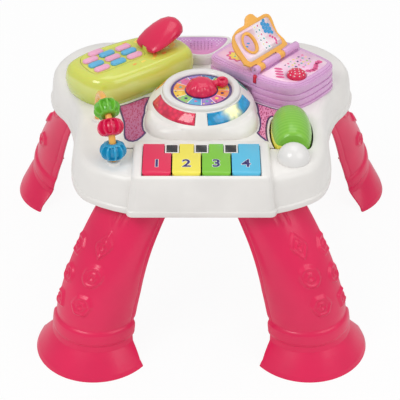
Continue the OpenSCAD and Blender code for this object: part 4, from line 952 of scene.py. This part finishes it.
BEAD_SIDES = 160
BEAD_RIBS = 10
BEAD_HOLLOW = 5.8                   # depth between two ribs
BEAD_BORE = 5.0
BEAD_BORE_END = 10.6
BEAD_HALF = [(6.6, -11), (7.8, -11), (8.6, -10.8), (10.8, -10.1), (12.9, -9.1), (14.6, -7.6),
             (16, -5.6), (16.9, -3.4), (17.4, -1.2)]
BEAD_OUTLINE = BEAD_HALF + [(r, -z) for r, z in reversed(BEAD_HALF)]
QUARTER = Matrix.Rotation(math.radians(90), 4, "X")
ARCH = (Matrix.Translation((-0.1256, -0.1015, 0.29))
        @ Matrix.Rotation(math.radians(-76), 4, "Z") @ QUARTER)
ARCH_R = 0.052
CRIMSON_AT = 41.5                   # degrees along the arch
BEAD_STEP = 2 * math.degrees(math.atan(11 / 44)) + 0.3

dress("bead_rail", "table", "orange_gloss", 0.0)


def build_bead(colour, angle):
    """Fat bead with ribs and deep hollows between them; its axis lies along the rod."""
    bm = bmesh.new()
    rings = []
    for r, z in BEAD_OUTLINE:
        # the hollows run out towards the bead's ends
        deep = BEAD_HOLLOW * float(ramp01(-abs(z), -10.0, -7.4))
        ring = []
        for a in circle(BEAD_SIDES):
            k = r - deep * float(ramp01(abs(math.sin(BEAD_RIBS / 2 * a)), 0.34, 0.62))
            ring.append(bm.verts.new(Vector((k * math.cos(a), k * math.sin(a), z)) * MM))
        rings.append(ring)
    for z in (BEAD_BORE_END, -BEAD_BORE_END):
        rings.append([bm.verts.new(Vector((BEAD_BORE * math.cos(a), BEAD_BORE * math.sin(a), z))
                                   * MM) for a in circle(BEAD_SIDES)])
    bridge(bm, rings + rings[:1])
    bm.transform(ARCH @ Matrix.Rotation(math.radians(angle), 4, "Z")
                 @ Matrix.Translation((ARCH_R, 0, 0)) @ QUARTER)
    bmesh.ops.recalc_face_normals(bm, faces=bm.faces)
    node = "bead_" + colour
    mesh = smooth(mesh_from(bm, node + "_skin"), 50)
    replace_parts(piece(node + "_skin", mesh, node + "_gloss", node), node)


build_bead("green", CRIMSON_AT + BEAD_STEP)
build_bead("crimson", CRIMSON_AT)
build_bead("blue", 8.0)
dress("roller_green_half", "roller", "ribbed_green", 0.4)
dress("roller_yellow_half", "roller", "yellow_gloss", 0.4)

# ---- speaker and panels ----

DOT_PITCH, DOT_ROW = 5, 4.4
DOT_MARGIN = 4.5                    # least distance of a dot from the panel's edge
BARE_AT, BARE_HALF = 104, (13, 6)   # oval without dots: its y and half its width and depth
BORDER = 2.2                        # width of the printed panels' dark border

dress("speaker_panel", "table", "speaker_film", 0.15, 1)


def inside_by(outline, x, y):
    """How far a point lies inside a closed outline, or below zero outside it."""
    hits, near = 0, 1e9
    for (x0, y0), (x1, y1) in zip(outline, outline[1:] + outline[:1]):
        if (y0 <= y) != (y1 <= y) and x0 + (y - y0) / (y1 - y0) * (x1 - x0) > x:
            hits += 1
        along = (x - x0) * (x1 - x0) + (y - y0) * (y1 - y0)
        t = min(1.0, max(0.0, along / ((x1 - x0) ** 2 + (y1 - y0) ** 2 + 1e-12)))
        near = min(near, math.hypot(x0 + t * (x1 - x0) - x, y0 + t * (y1 - y0) - y))
    return near if hits % 2 else -near


bm = merged("speaker_panel")
cover = upper_face(bm)
rim = [(v.co.x / MM, v.co.y / MM) for v in cover.verts]
high = max(v.co.z for v in cover.verts) / MM + 0.1
bm.free()
dots = [(DOT_PITCH * (i + 0.5 * (j % 2)), 92 + DOT_ROW * j, high)
        for i in range(-13, 14) for j in range(14)]
dots = [(x, y, z) for x, y, z in dots if inside_by(rim, x, y) > DOT_MARGIN
        and math.hypot(x / BARE_HALF[0], (y - BARE_AT) / BARE_HALF[1]) > 1]
motifs("speaker_dots", dots, "white_print", "table", 0.8, 10, 0.24)
for side in ("left", "right"):
    node = "deco_panel_" + side
    dress(node, "table", "purple_print", 0.0)
    bm = merged(node)
    top = upper_face(bm)
    bmesh.ops.delete(bm, geom=[f for f in bm.faces if f != top], context="FACES")
    bmesh.ops.inset_region(bm, faces=bm.faces[:], thickness=BORDER * MM, use_boundary=True,
                           use_even_offset=True)
    core = max(bm.faces, key=lambda f: f.calc_area())
    bmesh.ops.delete(bm, geom=[f for f in bm.faces if f != core], context="FACES")
    for v in bm.verts:
        v.co.z += 0.08 * MM
    piece(node + "_film", mesh_from(bm, node + "_film"), side + "_film")

# ---- floor, backdrop, light and camera ----


def brighten(tree, lit, bright, share, output):
    """Shows the camera a share of the bright shader where light meets the lit one."""
    path = tree.nodes.new("ShaderNodeLightPath")
    part = tree.nodes.new("ShaderNodeMath")
    part.operation = "MULTIPLY"
    part.inputs[1].default_value = share
    blend = tree.nodes.new("ShaderNodeMixShader")
    tree.links.new(path.outputs["Is Camera Ray"], part.inputs[0])
    tree.links.new(part.outputs[0], blend.inputs["Fac"])
    tree.links.new(lit.outputs[0], blend.inputs[1])
    tree.links.new(bright.outputs[0], blend.inputs[2])
    tree.links.new(blend.outputs[0], tree.nodes[output].inputs["Surface"])


HALF_FLOOR = 6      # metres
floor_mesh = bpy.data.meshes.new("floor")
floor_mesh.from_pydata([(HALF_FLOOR * x, HALF_FLOOR * y, 0)
                        for x, y in ((-1, -1), (1, -1), (1, 1), (-1, 1))], [], [(0, 1, 2, 3)])
floor = show(bpy.data.objects.new("floor", floor_mesh))
floor_finish = bpy.data.materials.new("pale_floor")
floor_finish.use_nodes = True
tree = floor_finish.node_tree
base = tree.nodes["Principled BSDF"]
base.inputs["Base Color"].default_value = (0.9, 0.9, 0.9, 1)
base.inputs["Roughness"].default_value = 0.8
brighten(tree, base, tree.nodes.new("ShaderNodeEmission"), 0.93, "Material Output")
floor_mesh.materials.append(floor_finish)

world = bpy.data.worlds.new("studio")
bpy.context.scene.world = world
world.use_nodes = True
ambient = world.node_tree.nodes["Background"]
clear = world.node_tree.nodes.new("ShaderNodeBackground")
for shader, strength in ((ambient, 0.55), (clear, 1.0)):
    shader.inputs["Color"].default_value = (1, 1, 1, 1)
    shader.inputs["Strength"].default_value = strength
brighten(world.node_tree, ambient, clear, 1.0, "World Output")


def aimed(obj, place, sight):
    """Puts a lamp or camera in its place, looking along a line."""
    obj.location = place
    obj.rotation_euler = sight.to_track_quat("-Z", "Y").to_euler()
    return show(obj)


# Place, size in metres and power in watts
for name, place, size, power in (("key_lamp", (-1.2, -1.3, 2.2), 1.1, 20),
                                 ("fill_lamp", (1.5, -1.0, 1.7), 1.4, 9.5),
                                 ("top_lamp", (0.2, 0.6, 2.3), 1.4, 8.5)):
    light = bpy.data.lights.new(name, "AREA")
    light.shape = "SQUARE"
    light.size = size
    light.energy = power
    aimed(bpy.data.objects.new(name, light), place, Vector((0, 0, 0.25)) - Vector(place))

AIM = Vector((0, -0.126, 0.2))
LIFT = math.radians(36)
DISTANCE = 2.0
SLIDE = Vector((-0.0018, 0, 0))
away = Vector((0, -math.cos(LIFT), math.sin(LIFT))) * DISTANCE
camera_data = bpy.data.cameras.new("camera")
camera_data.lens = 135
camera_data.sensor_width = 36
camera = aimed(bpy.data.objects.new("camera", camera_data), AIM + away + SLIDE, -away)
bpy.context.scene.camera = camera
bpy.context.scene.view_settings.view_transform = "Standard"
